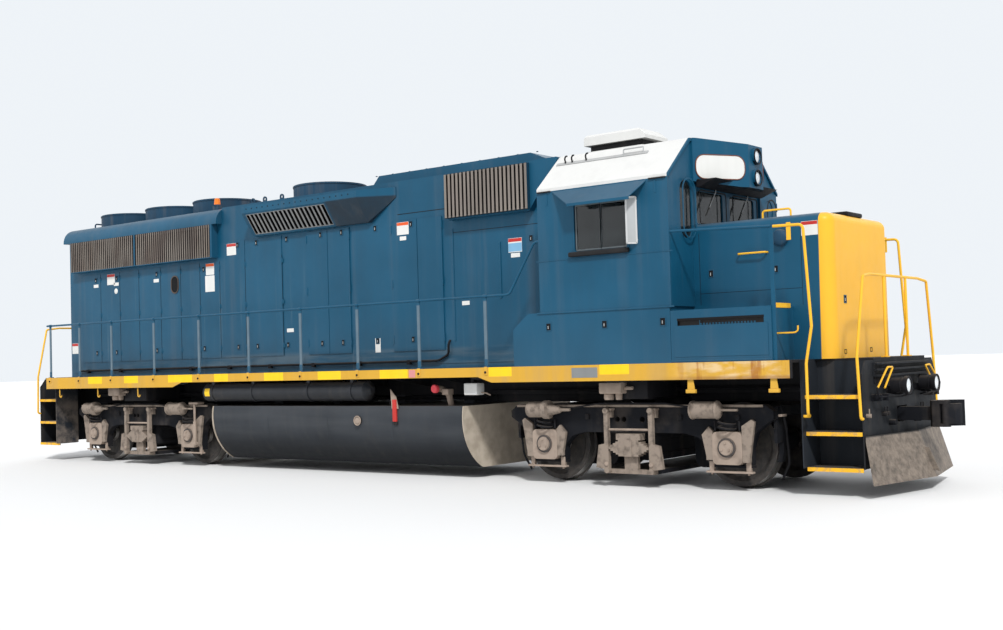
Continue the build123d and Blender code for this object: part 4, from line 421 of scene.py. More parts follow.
class Finish(Nodes):
    """A procedural material on a Principled shader."""

    def __init__(self, name, roughness=0.5, metallic=0.0, shine=0.5):
        self.material = bpy.data.materials.new(name)
        self.material.use_nodes = True
        super().__init__(self.material.node_tree)
        self.shader = self.tree.nodes["Principled BSDF"]
        self.feed("Roughness", roughness)
        self.feed("Metallic", metallic)
        self.feed("Specular IOR Level", shine)
        self.coords = self.node("ShaderNodeTexCoord").outputs["Object"]
        self.x, self.y, self.z = self.parts(self.coords)

    def parts(self, vector):
        """The X, Y and Z of a vector."""
        split = self.node("ShaderNodeSeparateXYZ", {"Vector": vector})
        return [Field(self, split.outputs[place]) for place in range(3)]

    def facing(self):
        """How far the surface faces along X, Y and Z, each from -1 to 1."""
        return self.parts(self.node("ShaderNodeNewGeometry").outputs["Normal"])

    def noise(self, scale, detail=3.0, stretch=(1, 1, 1), rough=0.55):
        """Cloudy noise from 0 to 1; a stretch under 1 draws it out along that axis."""
        mapping = self.node("ShaderNodeMapping", {"Vector": self.coords, "Scale": stretch})
        node = self.node("ShaderNodeTexNoise", {
            "Vector": mapping.outputs[0], "Scale": scale, "Detail": detail, "Roughness": rough})
        return Field(self, node.outputs["Fac"])

    def blend(self, share, under, over):
        """Colour under with colour over laid on it by share."""
        under, over = ((*colour, 1) if isinstance(colour, tuple) else colour for colour in (under, over))
        node = self.node("ShaderNodeMix", {"Factor": share, 6: under, 7: over}, data_type="RGBA")
        return Field(self, node.outputs[2])

    def feed(self, socket, value):
        """Gives a socket of the shader its value or link."""
        self.fill(self.shader, {socket: value})

    def bump(self, height, strength=0.2, distance=0.002):
        """Gives the surface relief from a height field."""
        node = self.node("ShaderNodeBump", {"Strength": strength, "Distance": distance, "Height": height})
        self.feed("Normal", node.outputs[0])


DUST = (0.26, 0.21, 0.16)
GRIME = (0.035, 0.03, 0.026)
RUST = (0.19, 0.06, 0.02)
BLUE = (0.004, 0.070, 0.134)
YELLOW = (0.87, 0.46, 0.030)
OCHRE = (0.64, 0.36, 0.045)
REFLECTIVE = (0.95, 0.60, 0.02)
WHITE = (0.66, 0.66, 0.64)
BLACK = (0.016, 0.016, 0.018)
TAN = (0.30, 0.245, 0.20)
SLATE = (0.020, 0.024, 0.030)
CHALK, RUBBED, POST_CHALK = (0.17, 0.215, 0.235), (0.15, 0.21, 0.24), (0.17, 0.215, 0.24)
BLEACHED, RUSTY_SILL, SILL_DIRT = (0.78, 0.62, 0.40), (0.30, 0.09, 0.025), (0.26, 0.11, 0.035)
SLAT_DARK, SLAT_PALE, VANE_DIRT = (0.17, 0.18, 0.18), (0.34, 0.34, 0.33), (0.22, 0.195, 0.17)
PLOW_DUST, BOX_DUST = (0.34, 0.28, 0.225), (0.37, 0.295, 0.24)
TANK_END_DARK, TANK_END_PALE = (0.40, 0.34, 0.27), (0.54, 0.47, 0.38)
TANK_SCUFF, TANK_SHADE, RESERVOIR_SHADE = (0.075, 0.080, 0.086), (0.007, 0.008, 0.010), (0.008, 0.009, 0.011)
TREAD_STEEL, WHEEL_DARK, WHEEL_BROWN = (0.42, 0.40, 0.38), (0.016, 0.015, 0.015), (0.050, 0.042, 0.036)
GLASS_TINT, GLASS_FILM = (0.006, 0.010, 0.012), (0.10, 0.11, 0.11)
LENS_DARK, LENS_PALE = (0.62, 0.67, 0.70), (0.92, 0.94, 0.94)
CLOTH_DARK, CLOTH_PALE, CLOTH_WORN = (0.018, 0.020, 0.024), (0.055, 0.058, 0.065), (0.11, 0.105, 0.10)


def weathered(name, colour, roughness=0.45, fade=0.25, streaks=0.12, low_dust=0.0, up_dust=0.2, chips=0.0,
              metallic=0.0, extra=None, relief=0.15, shine=0.22):
    """Paint that fades in clouds, streaks downwards, gathers dust low down and on top, and chips to rust."""
    finish = Finish(name, roughness, metallic, shine)
    cloud = finish.noise(0.9, 4.0)
    fine = finish.noise(9.0, 5.0)
    run = finish.noise(5.0, 4.0, stretch=(1.0, 1.0, 0.06))
    light = tuple(min(1.0, c * 1.35 + 0.006) for c in colour)
    dark = tuple(c * 0.72 for c in colour)
    tone = finish.blend(cloud.over(0.5, 0.25), dark, light)
    tone = finish.blend(1 - fade, tone, colour)
    if extra:
        tone = extra(finish, tone)
    tone = finish.blend(run.over(0.62, 0.12) * streaks, tone, DUST)
    tone = finish.blend((1 - run.over(0.40, 0.12)) * streaks, tone, GRIME)
    if low_dust:
        band = (1 - finish.z.over(1.95, 0.75)) * low_dust * (fine * 0.6 + 0.6)
        tone = finish.blend(band, tone, DUST)
    tone = finish.blend(finish.facing()[2].over(0.7, 0.2) * up_dust * (cloud + 0.4), tone, DUST)
    if chips:
        spots = finish.noise(26.0, 6.0, rough=0.7).over(0.72 - 0.08 * chips, 0.02)
        tone = finish.blend(spots * chips, tone, RUST)
    finish.feed("Base Color", tone)
    finish.feed("Roughness", fine * 0.25 + (cloud * 0.1 + (roughness - 0.15)))
    finish.bump(fine, relief, 0.001)
    return finish.material


# Paint that changes from place to place: each function lays its marks on a tone

HOOD_SMEARS, HOOD_RUBS_TO = (1.640, 1.880), 3.0
NOSE_FRONT_FROM, NOSE_RAKE = 7.69, 0.012
SILL_PATCHES = (
    (-6.224, -5.790), (-5.128, -4.720), (-3.874, -3.225), (-2.653, -2.299), (-1.420, -0.975), (-0.194, 0.303),
    (1.110, 1.664), (3.156, 3.552), (4.967, 5.410),
)
SILL_HALF, PATCH_FOOT, SILL_DIRT_TOP = 7.575, 1.462, 1.415
BURNT_FROM, RUSTY_FROM, DIRTY_FROM = 6.25, 6.2, 6.1
REAR_STEPS_TO, STEP_DUST_TOP, STEP_LIP = -7.5, 1.15, (7.617, 1.2215)
ROOF_WHITE_TO = 6.045
PLOW_TOP, PLOW_FROM = 0.690, 8.325
POST_ZS, POSTS_TO = (1.620, 2.500), 3.3
BAND_X, BAND_Z, RESERVOIR_MIDDLE = (-3.065, -2.925), (1.215, 1.345), 1.27
TANK_X, TANK_SHADE_TOP = (-2.944, 2.494), 0.48
TRUCK_FACE = 1.12
COVER_RING = (0.094, 0.120)
TREAD_Y = (0.712, 0.812)


def hood_paint(finish, tone):
    """Pale smears along the foot of the hood, and faint upright rubs on its doors."""
    smears = finish.noise(1.7, 5.0, stretch=(0.35, 1, 3.0)).over(0.55, 0.12)
    tone = finish.blend(finish.z.within(*HOOD_SMEARS, 0.05) * smears * 0.40, tone, CHALK)
    rubs = finish.noise(3.6, 5.0, stretch=(1.8, 1, 0.12)).over(0.66, 0.07)
    return finish.blend(rubs * (1 - finish.z.over(HOOD_RUBS_TO, 0.9)) * 0.22, tone, RUBBED)


def nose_paint(finish, tone):
    """Yellow on the nose's front and round its corners, with a little orange fade."""
    front = (finish.x - finish.z * NOSE_RAKE).over(NOSE_FRONT_FROM, 0.003)
    yellow = finish.blend(finish.noise(1.4).over(0.5, 0.3) * 0.3, YELLOW, OCHRE)
    return finish.blend(front, tone, yellow)


def sill_paint(finish, tone):
    """Ochre on the outer faces of the side sills, with bright patches, burnt and rusty at the front."""
    patch = finish.x.within(*SILL_PATCHES[0], 0.004)
    for rear, front in SILL_PATCHES[1:]:
        patch = patch + finish.x.within(rear, front, 0.004)
    patch = patch * finish.z.over(PATCH_FOOT, 0.006) * (0.75 + finish.noise(8.0) * 0.4)
    clouds = finish.noise(3.0, 4.0, stretch=(1, 1, 0.2)).over(0.60, 0.15)
    stripe = finish.blend(patch, finish.blend(clouds * 0.25, OCHRE, TAN), REFLECTIVE)
    burnt = finish.noise(3.0, 5.0, stretch=(1, 1, 2.6)).over(0.55, 0.10)
    stripe = finish.blend(finish.x.over(BURNT_FROM, 0.35) * burnt * 0.60, stripe, BLEACHED)
    rusty = finish.noise(5.0, 6.0, stretch=(1.6, 1, 0.25)).over(0.60, 0.06)
    stripe = finish.blend(finish.x.over(RUSTY_FROM, 0.4) * rusty * 0.65, stripe, RUSTY_SILL)
    dirty = finish.x.over(DIRTY_FROM, 0.5) * (1 - finish.z.over(SILL_DIRT_TOP, 0.02))
    stripe = finish.blend(dirty * 0.6, stripe, SILL_DIRT)
    side = abs(finish.y).over(SILL_Y - 0.003, 0.001) * (1 - abs(finish.x).over(SILL_HALF, 0.002))
    return finish.blend(side, tone, stripe)


def step_paint(finish, tone):
    """Yellow edges on the step treads, and road dust on the rear steps."""
    dust = (1 - finish.x.over(REAR_STEPS_TO, 0.02)) * finish.noise(4.0, 5.0).over(0.46, 0.15)
    tone = finish.blend(dust * (1 - finish.z.over(STEP_DUST_TOP, 0.25)) * 0.6, tone, TAN)
    lip = abs(finish.x).over(STEP_LIP[0], 0.001) * abs(finish.y).over(STEP_LIP[1], 0.0008)
    edge = finish.blend(finish.noise(14.0, 5.0).over(0.56, 0.1) * 0.5, YELLOW, DUST)
    return finish.blend(lip, tone, edge)


def roof_paint(finish, tone):
    """White on the cab roof, with the blue edge strip at the front."""
    return finish.blend(finish.x.over(ROOF_WHITE_TO, 0.002), tone, BLUE)


def intake_paint(finish, tone):
    """The intake's blue housing, with painted shade behind its vanes."""
    painted_shade_mask = abs(finish.y).over(INTAKE_GROUND - 0.002, 0.001) * finish.x.within(*INTAKE_X, 0.002)
    return finish.blend(painted_shade_mask * finish.z.within(*INTAKE_Z, 0.002), tone, SHADOW)


def radiator_paint(finish, tone):
    """Painted shade behind the radiator's vanes and over its frame, except at the frame's blue front end."""
    painted_shade_mask = 1 - finish.x.over(RADIATOR_X[2] - RADIATOR_RIM - 0.002, 0.001)
    return finish.blend(painted_shade_mask * finish.z.over(RADIATOR_Z[0] + 0.003, 0.001), tone, SHADOW)


def blister_paint(finish, tone):
    """Bare slats with painted shade in the slots between them on the slanting face, and grime on the taper
    ahead of them.
    """
    depth = (finish.z - BLISTER_FOOT[1]) * BLISTER_SLANT + BLISTER_FOOT[0] - abs(finish.y)
    slats = finish.x.within(*SLATS_X, 0.003) * finish.z.within(*SLATS_Z, 0.004)
    worn = finish.blend(finish.noise(9.0, 5.0), SLAT_DARK, SLAT_PALE)
    dirty = finish.x.over(SLATS_X[1] + 0.03, 0.05) * (1 - finish.z.over(SLATS_Z[1] + 0.03, 0.02))
    tone = finish.blend(dirty * (0.55 + finish.noise(3.0) * 0.4), tone, SLATE)
    tone = finish.blend(slats, tone, worn)
    return finish.blend(slats * depth.over(0.008, 0.003), tone, SHADOW)


def vane_paint(finish, tone):
    """Brown and grey patches down the vanes."""
    patches = finish.noise(5.0, 5.0, stretch=(1, 1, 0.3)).over(0.5, 0.2)
    return finish.blend(patches, tone, VANE_DIRT)


def cooler_paint(finish, tone):
    """Painted shade in the slot round the air conditioner under its lid."""
    return finish.blend(finish.z.within(*AC_SLOT, 0.0015), tone, SHADOW)


def housing_paint(finish, tone):
    """Shade under the lamp housing."""
    return finish.blend(1 - finish.facing()[2].over(-0.6, 0.1), tone, SHADOW)


def pilot_paint(finish, tone):
    """Road dust on the plow."""
    plow = (1 - finish.z.over(PLOW_TOP, 0.012)) * abs(finish.x).over(PLOW_FROM, 0.004)
    thrown = finish.noise(11.0, 7.0, rough=0.7).over(0.46, 0.30) * 0.62 + 0.16
    return finish.blend(plow * thrown, tone, PLOW_DUST)


def post_paint(finish, tone):
    """Paler, chalky posts under the top rail."""
    post = finish.z.within(*POST_ZS, 0.01) * (1 - finish.x.over(POSTS_TO, 0.02))
    return finish.blend(post * (0.35 + finish.noise(6.0) * 0.5), tone, POST_CHALK)


def box_face_paint(finish, tone):
    """Painted shade in the slot behind the battery box's louvre."""
    slot = finish.z.within(*LOUVRE_Z, 0.002) * finish.x.within(*LOUVRE_X, 0.003)
    return finish.blend(slot * (1 - abs(finish.y).over(SILL_Y - 0.004, 0.001)), tone, SHADOW)


def reservoir_paint(finish, tone):
    """Shade on the lower half of each reservoir, and a yellow band near its rear end."""
    tone = finish.blend((1 - finish.z.over(RESERVOIR_MIDDLE, 0.09)) * 0.7, tone, RESERVOIR_SHADE)
    return finish.blend(finish.x.within(*BAND_X, 0.003) * finish.z.within(*BAND_Z, 0.003), tone, REFLECTIVE)


def tank_paint(finish, tone):
    """Dusty tan end plates on the dark tank, pale scuffs low on its sides, and painted shade on the lower
    part of the sides.
    """
    tan = finish.blend(finish.noise(5.0, 5.0).over(0.5, 0.2), TANK_END_DARK, TANK_END_PALE)
    scuff = finish.noise(1.6, 5.0, stretch=(0.25, 1, 2.6)).over(0.52, 0.2)
    side = finish.blend(scuff * 0.45, tone, TANK_SCUFF)
    side = finish.blend((1 - finish.z.over(TANK_SHADE_TOP, 0.26)) * 0.85, side, TANK_SHADE)
    return finish.blend(1 - finish.x.within(*TANK_X, 0.002), side, tan)


def cast_paint(finish, tone):
    """Tan road dust on the truck castings, thick in patches."""
    thick = finish.blend(finish.noise(11.0, 5.0).over(0.58, 0.15) * 0.6, TAN, GRIME)
    tone = finish.blend(finish.noise(2.4, 5.0).over(0.60, 0.12) * 0.10, tone, TAN)
    return finish.blend(abs(finish.y).over(TRUCK_FACE, 0.01) * 0.92, tone, thick)


def box_paint(finish, tone):
    """Pale dust over the journal boxes, with a dark ring round each cover."""
    across_x = abs(abs(finish.x) - TRUCK_X) - AXLES[1]
    across_z = finish.z - BOX_Z
    apart = across_x * across_x + across_z * across_z
    ring_share = apart.within(COVER_RING[0] ** 2, COVER_RING[1] ** 2, 0.0012)
    tone = finish.blend(finish.noise(6.0, 5.0).over(0.42, 0.15) * 0.85, tone, BOX_DUST)
    return finish.blend(ring_share * 0.85, tone, SLATE)


blue = weathered("blue_paint", BLUE, 0.40, fade=0.35, streaks=0.06, low_dust=0.05, up_dust=0.15, chips=0.15)
hood_blue = weathered("hood_paint", BLUE, 0.40, fade=0.4, streaks=0.07, low_dust=0.05, up_dust=0.15,
                      chips=0.15, extra=hood_paint)
blue_box = weathered("battery_box_paint", BLUE, 0.40, fade=0.3, streaks=0.05, low_dust=0.05,
                     extra=box_face_paint)
blue_nose = weathered("nose_paint", BLUE, 0.38, fade=0.3, streaks=0.03, low_dust=0.03, chips=0.12,
                      extra=nose_paint)
blue_roof = weathered("roof_blue", (0.008, 0.045, 0.088), 0.55, fade=0.5, streaks=0.20, up_dust=0.25,
                      chips=0.3)
housing = weathered("lamp_housing_paint", BLUE, 0.40, fade=0.3, streaks=0.04, up_dust=0.1,
                    extra=housing_paint)
rail_blue = weathered("rail_paint", BLUE, 0.42, fade=0.3, streaks=0.05, up_dust=0.1, extra=post_paint)
blister = weathered("blister_paint", BLUE, 0.45, fade=0.3, streaks=0.08, up_dust=0.15, extra=blister_paint)
intake = weathered("intake_paint", BLUE, 0.5, fade=0.3, streaks=0.05, chips=0.1, extra=intake_paint)
grille = weathered("grille_paint", BLUE, 0.6, fade=0.3, streaks=0.05, up_dust=0.1, extra=radiator_paint)
vane_brown = weathered("radiator_vanes", (0.115, 0.090, 0.078), 0.7, fade=0.6, streaks=0.25, up_dust=0.1,
                       extra=vane_paint)
vane_grey = weathered("intake_vanes", (0.21, 0.182, 0.160), 0.7, fade=0.6, streaks=0.25, up_dust=0.1,
                      extra=vane_paint)
# Dark paint for the seams, and painted shade in the latch hollows, the oval port, the holes over the brake
# slats and the strip over the louvre.
seams_and_painted_shade = weathered("seams_and_painted_shade", (0.008, 0.008, 0.009), 0.9, fade=0.1, streaks=0.0, up_dust=0.0)
yellow = weathered("yellow_paint", YELLOW, 0.42, fade=0.3, streaks=0.04, up_dust=0.1, chips=0.3)
white = weathered("white_paint", WHITE, 0.6, fade=0.1, streaks=0.05, up_dust=0.03, chips=0.10,
                  extra=roof_paint)
cooler = weathered("cooler_paint", WHITE, 0.55, fade=0.1, streaks=0.05, up_dust=0.03, extra=cooler_paint)
plain_white = weathered("plain_white", WHITE, 0.55, fade=0.1, streaks=0.10, up_dust=0.05)
black = weathered("black_frame", BLACK, 0.62, fade=0.3, streaks=0.06, up_dust=0.2, extra=sill_paint,
                  shine=0.12)
plain_black = weathered("black_fitting", (0.011, 0.011, 0.013), 0.55, fade=0.3, streaks=0.06, up_dust=0.12,
                        shine=0.10)
step_black = weathered("step_paint", SLATE, 0.6, fade=0.4, streaks=0.10, up_dust=0.25, extra=step_paint,
                       shine=0.12)
pilot_black = weathered("pilot_paint", (0.014, 0.016, 0.019), 0.6, fade=0.4, streaks=0.10, up_dust=0.25,
                        extra=pilot_paint, shine=0.12)
tank = weathered("tank_paint", (0.040, 0.045, 0.052), 0.5, fade=0.5, streaks=0.03, up_dust=0.35,
                 extra=tank_paint, shine=0.06)
reservoir = weathered("reservoir_paint", (0.026, 0.029, 0.035), 0.42, fade=0.5, streaks=0.05, up_dust=0.3,
                      extra=reservoir_paint)
casting = weathered("truck_casting", (0.011, 0.012, 0.015), 0.75, fade=0.5, streaks=0.05, up_dust=0.25,
                    extra=cast_paint, relief=0.35, shine=0.06)
dusty = weathered("dusty_iron", (0.26, 0.205, 0.165), 0.85, fade=0.5, streaks=0.2, up_dust=0.2,
                  extra=box_paint, relief=0.35)
dark_iron = weathered("dark_iron", (0.016, 0.016, 0.018), 0.7, fade=0.5, streaks=0.1, up_dust=0.2, shine=0.06)
grey = weathered("grey_paint", (0.22, 0.23, 0.23), 0.5, fade=0.3, streaks=0.1)
engine_grey = weathered("engine_grey", (0.075, 0.080, 0.080), 0.6, fade=0.4, streaks=0.3, up_dust=0.3)
light_grey = weathered("light_grey", (0.40, 0.41, 0.41), 0.5, fade=0.3, streaks=0.1)
cap_red = weathered("cap_red", (0.78, 0.075, 0.095), 0.45, fade=0.2, streaks=0.05)
red = weathered("red_paint", (0.50, 0.030, 0.025), 0.45, fade=0.3, streaks=0.1)
orange_red = weathered("orange_red", (0.72, 0.10, 0.02), 0.45, fade=0.3, streaks=0.05)
amber = weathered("amber_lens", (0.85, 0.20, 0.02), 0.25, fade=0.2, streaks=0.05)
rubber = weathered("rubber", (0.014, 0.014, 0.015), 0.75, fade=0.2, streaks=0.05, up_dust=0.1)
aluminium = weathered("aluminium", (0.62, 0.62, 0.61), 0.4, fade=0.1, streaks=0.1, metallic=0.6)
dull_sash = weathered("dull_sash", (0.11, 0.13, 0.14), 0.45, fade=0.2, streaks=0.1, metallic=0.2)
sign_white = weathered("sign_white", (0.72, 0.72, 0.69), 0.5, fade=0.1, streaks=0.05, up_dust=0.05)
board_edge = weathered("board_edge", (0.17, 0.055, 0.03), 0.55, fade=0.3, streaks=0.10)
pale_blue = weathered("pale_blue", (0.20, 0.42, 0.62), 0.5, fade=0.1, streaks=0.05)
bronze = weathered("bronze", (0.085, 0.060, 0.045), 0.5, fade=0.3, streaks=0.1)
ochre_patch = weathered("ochre_paint", OCHRE, 0.5, fade=0.3, streaks=0.05, chips=0.4)
pink = weathered("pink_mark", (0.62, 0.25, 0.24), 0.5, fade=0.2, streaks=0.1)
wiper_black = weathered("wiper_black", (0.014, 0.014, 0.014), 0.5, fade=0.1, streaks=0.0)


def wheel_finish():
    """Dark brown wheel faces, darkened further as painted shade, with a bright rolled tread."""
    finish = Finish("wheel_steel", 0.6)
    fine = finish.noise(12.0, 5.0)
    outwards = 1 - abs(finish.facing()[1]).over(0.5, 0.2)
    tread = abs(finish.y).within(*TREAD_Y, 0.004) * outwards
    tone = finish.blend(fine.over(0.5, 0.25), WHEEL_DARK, WHEEL_BROWN)
    finish.feed("Base Color", finish.blend(tread * 0.9, tone, TREAD_STEEL))
    finish.feed("Metallic", tread * 0.9)
    finish.feed("Roughness", 0.75 - tread * 0.4)
    finish.bump(fine, 0.3, 0.002)
    return finish.material


def glass_finish():
    """Dark tinted panes with a soft film of dust."""
    finish = Finish("window_glass")
    finish.feed("IOR", 1.5)
    film = finish.noise(3.0, 5.0).over(0.5, 0.3)
    finish.feed("Base Color", finish.blend(film * 0.15, GLASS_TINT, GLASS_FILM))
    finish.feed("Alpha", film * 0.10 + 0.74)
    finish.feed("Roughness", film * 0.12 + 0.03)
    return finish.material


def lens_finish():
    """Clear lamp glass over a bright reflector."""
    finish = Finish("lamp_lens", 0.10, 0.2)
    rings = finish.noise(60.0, 2.0)
    finish.feed("Base Color", finish.blend(rings.over(0.5, 0.3), LENS_DARK, LENS_PALE))
    finish.bump(rings, 0.3, 0.002)
    return finish.material


def cloth_finish():
    """Dark woven seat cloth."""
    finish = Finish("seat_cloth", 0.9)
    weave = finish.noise(420.0, 2.0)
    tone = finish.blend(weave, CLOTH_DARK, CLOTH_PALE)
    wear = finish.noise(7.0, 4.0).over(0.6, 0.2)
    finish.feed("Base Color", finish.blend(wear * 0.3, tone, CLOTH_WORN))
    finish.feed("Sheen Weight", 0.3)
    finish.bump(weave, 0.5, 0.001)
    return finish.material


wheel_steel = wheel_finish()
glass = glass_finish()
lens = lens_finish()
cloth = cloth_finish()

# Finishes of the CAD nodes; the moving groups go by the start or end of their names
NODE_FINISH = {
    "underframe": black, "steps": step_black, "front_pilot": pilot_black, "rear_pilot": pilot_black,
    "fuel_tank": tank, "air_reservoirs": reservoir, "cab_base": blue_box, "short_hood": blue_nose,
    "cab_shell": blue, "cab_roof": white, "cab_glass": glass, "cab_seats": cloth, "control_stand": grey,
    "air_conditioner": cooler, "sunshades": blue, "hood_shell": hood_blue, "hood_roof": blue,
    "radiator_grilles": grille, "brake_blister": blister, "intake_grilles": intake,
    "engine_block": engine_grey, "fan_housings": blue_roof, "handrails_sides": rail_blue,
    "handrails_ends": yellow, "lamp_housing": housing, "ditch_lights": plain_black,
    "roof_fittings": blue_roof, "cab_door_front": blue, "cab_door_rear": blue,
}
for node_name, node_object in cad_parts.items():
    if node_name in NODE_FINISH:
        coat = NODE_FINISH[node_name]
    elif node_name.startswith("engine_"):
        coat = blue
    elif node_name.startswith("wheelset"):
        coat = wheel_steel
    elif node_name.startswith("fan_"):
        coat = grey
    elif node_name.endswith("journal_boxes"):
        coat = dusty
    else:
        coat = casting
    node_object.data.materials.clear()
    node_object.data.materials.append(coat)

# Hood sides: latches, hinges, seams, notices, the oval port and the pipe along the foot
DOOR_Y = HOOD_Y + 0.010
LEAF_Y = 0.9435
LOW_LATCH, REAR_LATCH, HIGH_LATCH = 2.030, 3.410, 3.763
FIXED_LATCHES = [(x, DOOR_Y, LOW_LATCH) for x in (-6.786, -6.167, -4.943, -3.606, -2.713, -2.226)]
FIXED_LATCHES += [(x, DOOR_Y, REAR_LATCH) for x in (-6.791, -6.132, -4.922, -3.595)]
FIXED_LATCHES += [(x, DOOR_Y, HIGH_LATCH) for x in (-2.688, -2.209)]
FIXED_LATCHES += [(x, HOOD_Y, z) for x, z in ((-1.490, LOW_LATCH), (-1.479, HIGH_LATCH), (0.523, LOW_LATCH))]
FIXED_LATCHES += [(x, HOOD_Y, z) for x, z in ((0.526, HIGH_LATCH), (3.507, 3.367))]
LEAF_LATCHES = {
    "engine_1": ((-0.672, LOW_LATCH), (-0.662, HIGH_LATCH)),
    "engine_2": ((-0.205, LOW_LATCH), (-0.190, HIGH_LATCH)),
    "engine_3": ((1.272, LOW_LATCH), (1.284, HIGH_LATCH)),
}
BASE_LATCHES = [(x, SILL_Y, 2.100) for x in (4.191, 5.069, 5.924)]


def latch(wide=0.078, high=0.100):
    """A flush latch that faces -Y at the origin: a pan, a dark panel in its hollow as painted shade, and a
    bright pull.
    """
    pan = dish(plate((0, -0.003, 0), (wide, 0.008, high), 0.003), RIGHTWARD, 0.007, 0.005)
    hollow = panel((0, -0.0022, 0), RIGHTWARD, wide - 0.017, high - 0.017, 0.012, 0.0012)
    pull = block((-0.012, -0.010, -0.026), (-0.001, -0.0015, 0.014), 0.003)
    return paint([pan], blue) + paint([hollow], seams_and_painted_shade) + paint([pull], light_grey)


piece("hood_latches", across(copies(latch(), [(x, -y, z) for x, y, z in FIXED_LATCHES])))
piece("cab_base_latches", across(copies(latch(0.090, 0.110), [(x, -y, z) for x, y, z in BASE_LATCHES])))
for door, places in LEAF_LATCHES.items():
    right = copies(latch(), [(x, -LEAF_Y, z) for x, z in places])
    both = across(right)
    piece(f"{door}_latches_right", both[:len(right)], body=f"{door}_right")
    piece(f"{door}_latches_left", both[len(right):], body=f"{door}_left")

DOOR_SEAMS = (-6.642, -6.040, -5.457, -4.813, -4.241, -3.705, -3.169, -2.507, -1.591)
HINGE_ZS = (2.020, 2.740, 3.420)
PIN_Y = DOOR_Y + 0.004
hinge = rod((0, -PIN_Y, -0.045), (0, -PIN_Y, 0.045), 0.010, 10, 0.002)
strap = applied((0.006, 0.034), (-0.030, 0.030), DOOR_Y, 0.004, 0.002)
piece("hood_hinges", across(copies([hinge, strap], [(x, 0, z) for x in DOOR_SEAMS for z in HINGE_ZS])), blue)
seam = applied((-0.004, 0.004), (1.862, 3.515), DOOR_Y, 0.0012, 0.0008)
piece("hood_door_seams", across(copies([seam], [(x, 0, 0) for x in DOOR_SEAMS])), seams_and_painted_shade)

# Each notice: X, Z, width, height, the wall it is on, and the colour of its head
NOTICES = (
    (-6.310, 3.400, 0.24, 0.20, DOOR_Y, red),
    (-2.848, 3.700, 0.24, 0.20, DOOR_Y, red),
    (-3.424, 3.400, 0.22, 0.20, DOOR_Y, orange_red),
    (-7.521, 2.136, 0.20, 0.20, HOOD_Y, red),
    (3.222, 3.292, 0.24, 0.20, HOOD_Y, red),
    (7.617, 3.146, 0.21, 0.17, NOSE_Y, red),
    (-3.434, 3.149, 0.25, 0.28, DOOR_Y, None),
    (0.523, 1.962, 0.11, 0.22, HOOD_Y, None),
    (-6.788, 3.302, 0.15, 0.06, DOOR_Y, None),
    (-6.148, 3.303, 0.15, 0.06, DOOR_Y, None),
    (-4.938, 3.294, 0.15, 0.06, DOOR_Y, None),
    (-1.435, 2.266, 0.16, 0.06, HOOD_Y, None),
    (2.296, 2.523, 0.14, 0.06, HOOD_Y, None),
    (3.224, 3.150, 0.16, 0.06, HOOD_Y, None),
)
LEAF_NOTICES = (
    (1.117, 3.710, 0.24, 0.19, LEAF_Y, orange_red),
    (1.117, 3.560, 0.13, 0.06, LEAF_Y, None),
)
NOTICE_FRONT = 0.0028


def notice(x, z, wide, high, face, head):
    """A blank notice on the right-hand wall at face, with a coloured head if one is given."""
    parts = paint([plate((x, -face - 0.001, z), (wide, 0.004, high), 0.001)], sign_white)
    if head:
        band = plate((x, -face - NOTICE_FRONT, z + high * 0.36), (wide - 0.006, 0.0016, high * 0.24), 0.0004)
        parts += paint([band], head)
    return parts


notices = [part for row in NOTICES for part in notice(*row)]
notices += paint([plate((3.222, -HOOD_Y - NOTICE_FRONT, 3.262), (0.236, 0.0016, 0.120), 0.0004)], pale_blue)
notices += paint([stud((-6.157, -DOOR_Y, 3.173), 0.052, 0.003, 0.004, 0.050, "-Y", start=-0.001)], sign_white)
piece("blank_notices", notices)
piece("blank_notices_leaf", [part for row in LEAF_NOTICES for part in notice(*row)], body="engine_3_right")

PORT = (-4.400, -DOOR_Y, 3.190)
port = paint([panel(PORT, RIGHTWARD, 0.215, 0.320, 0.107, 0.012, rim=0.016)], bronze)
port += paint([panel(PORT, RIGHTWARD, 0.180, 0.280, 0.090, 0.005)], seams_and_painted_shade)
piece("oval_port", port)

PIPE_Y, PIPE_Z, PIPE_END = 0.970, 1.700, 1.98
foot = [pipe([(-7.30, -PIPE_Y, PIPE_Z), (PIPE_END - 0.20, -PIPE_Y, PIPE_Z),
              (PIPE_END, -PIPE_Y, PIPE_Z + 0.090), (PIPE_END, -PIPE_Y, 1.960), (PIPE_END, -HOOD_Y, 1.990)],
             0.018, 0.05)]
clip = block((-0.030, -PIPE_Y - 0.022, PIPE_Z - 0.045), (0.030, -HOOD_Y - 0.004, PIPE_Z + 0.024), 0.006)
foot += copies([clip], [(-7.05 + 1.03 * place, 0, 0) for place in range(9)])
# The pipe is black: a dark pipe, darkened further as painted shade.
piece("foot_pipe", foot, plain_black)

# Ribs behind the cab, and the lap seams of the intake panel
RIB_XS = (2.080, 3.960)
ribs = [plate((2.950, -HOOD_Y - 0.006, 2.960), (0.030, 0.014, 0.800), 0.003)]
ribs += [plate((x, -HOOD_Y - 0.004, 2.800), (0.024, 0.010, 1.640), 0.002) for x in RIB_XS]
piece("hood_ribs", across(ribs), blue)
laps = [applied((1.000, 2.082), (3.926, 3.936), HOOD_Y, 0.003),
        applied((2.096, 3.950), (3.560, 3.567), HOOD_Y, 0.003)]
piece("hood_laps", across(laps), plain_black)

# Grilles: upright vanes and the blue bars of their frames
RADIATOR_VANE, INTAKE_VANE = 0.026, 0.040
VANE_SUNK, BAR = 0.0005, 0.030


def vanes(xs, face, zs, wide, deep):
    """Upright strips in front of a grille's frame."""
    strip = applied((-wide / 2, wide / 2), (zs[0] + 0.004, zs[1] - 0.004), face, deep, 0.0015, sunk=VANE_SUNK)
    return across(copies([strip], [(x, 0, 0) for x in xs]))


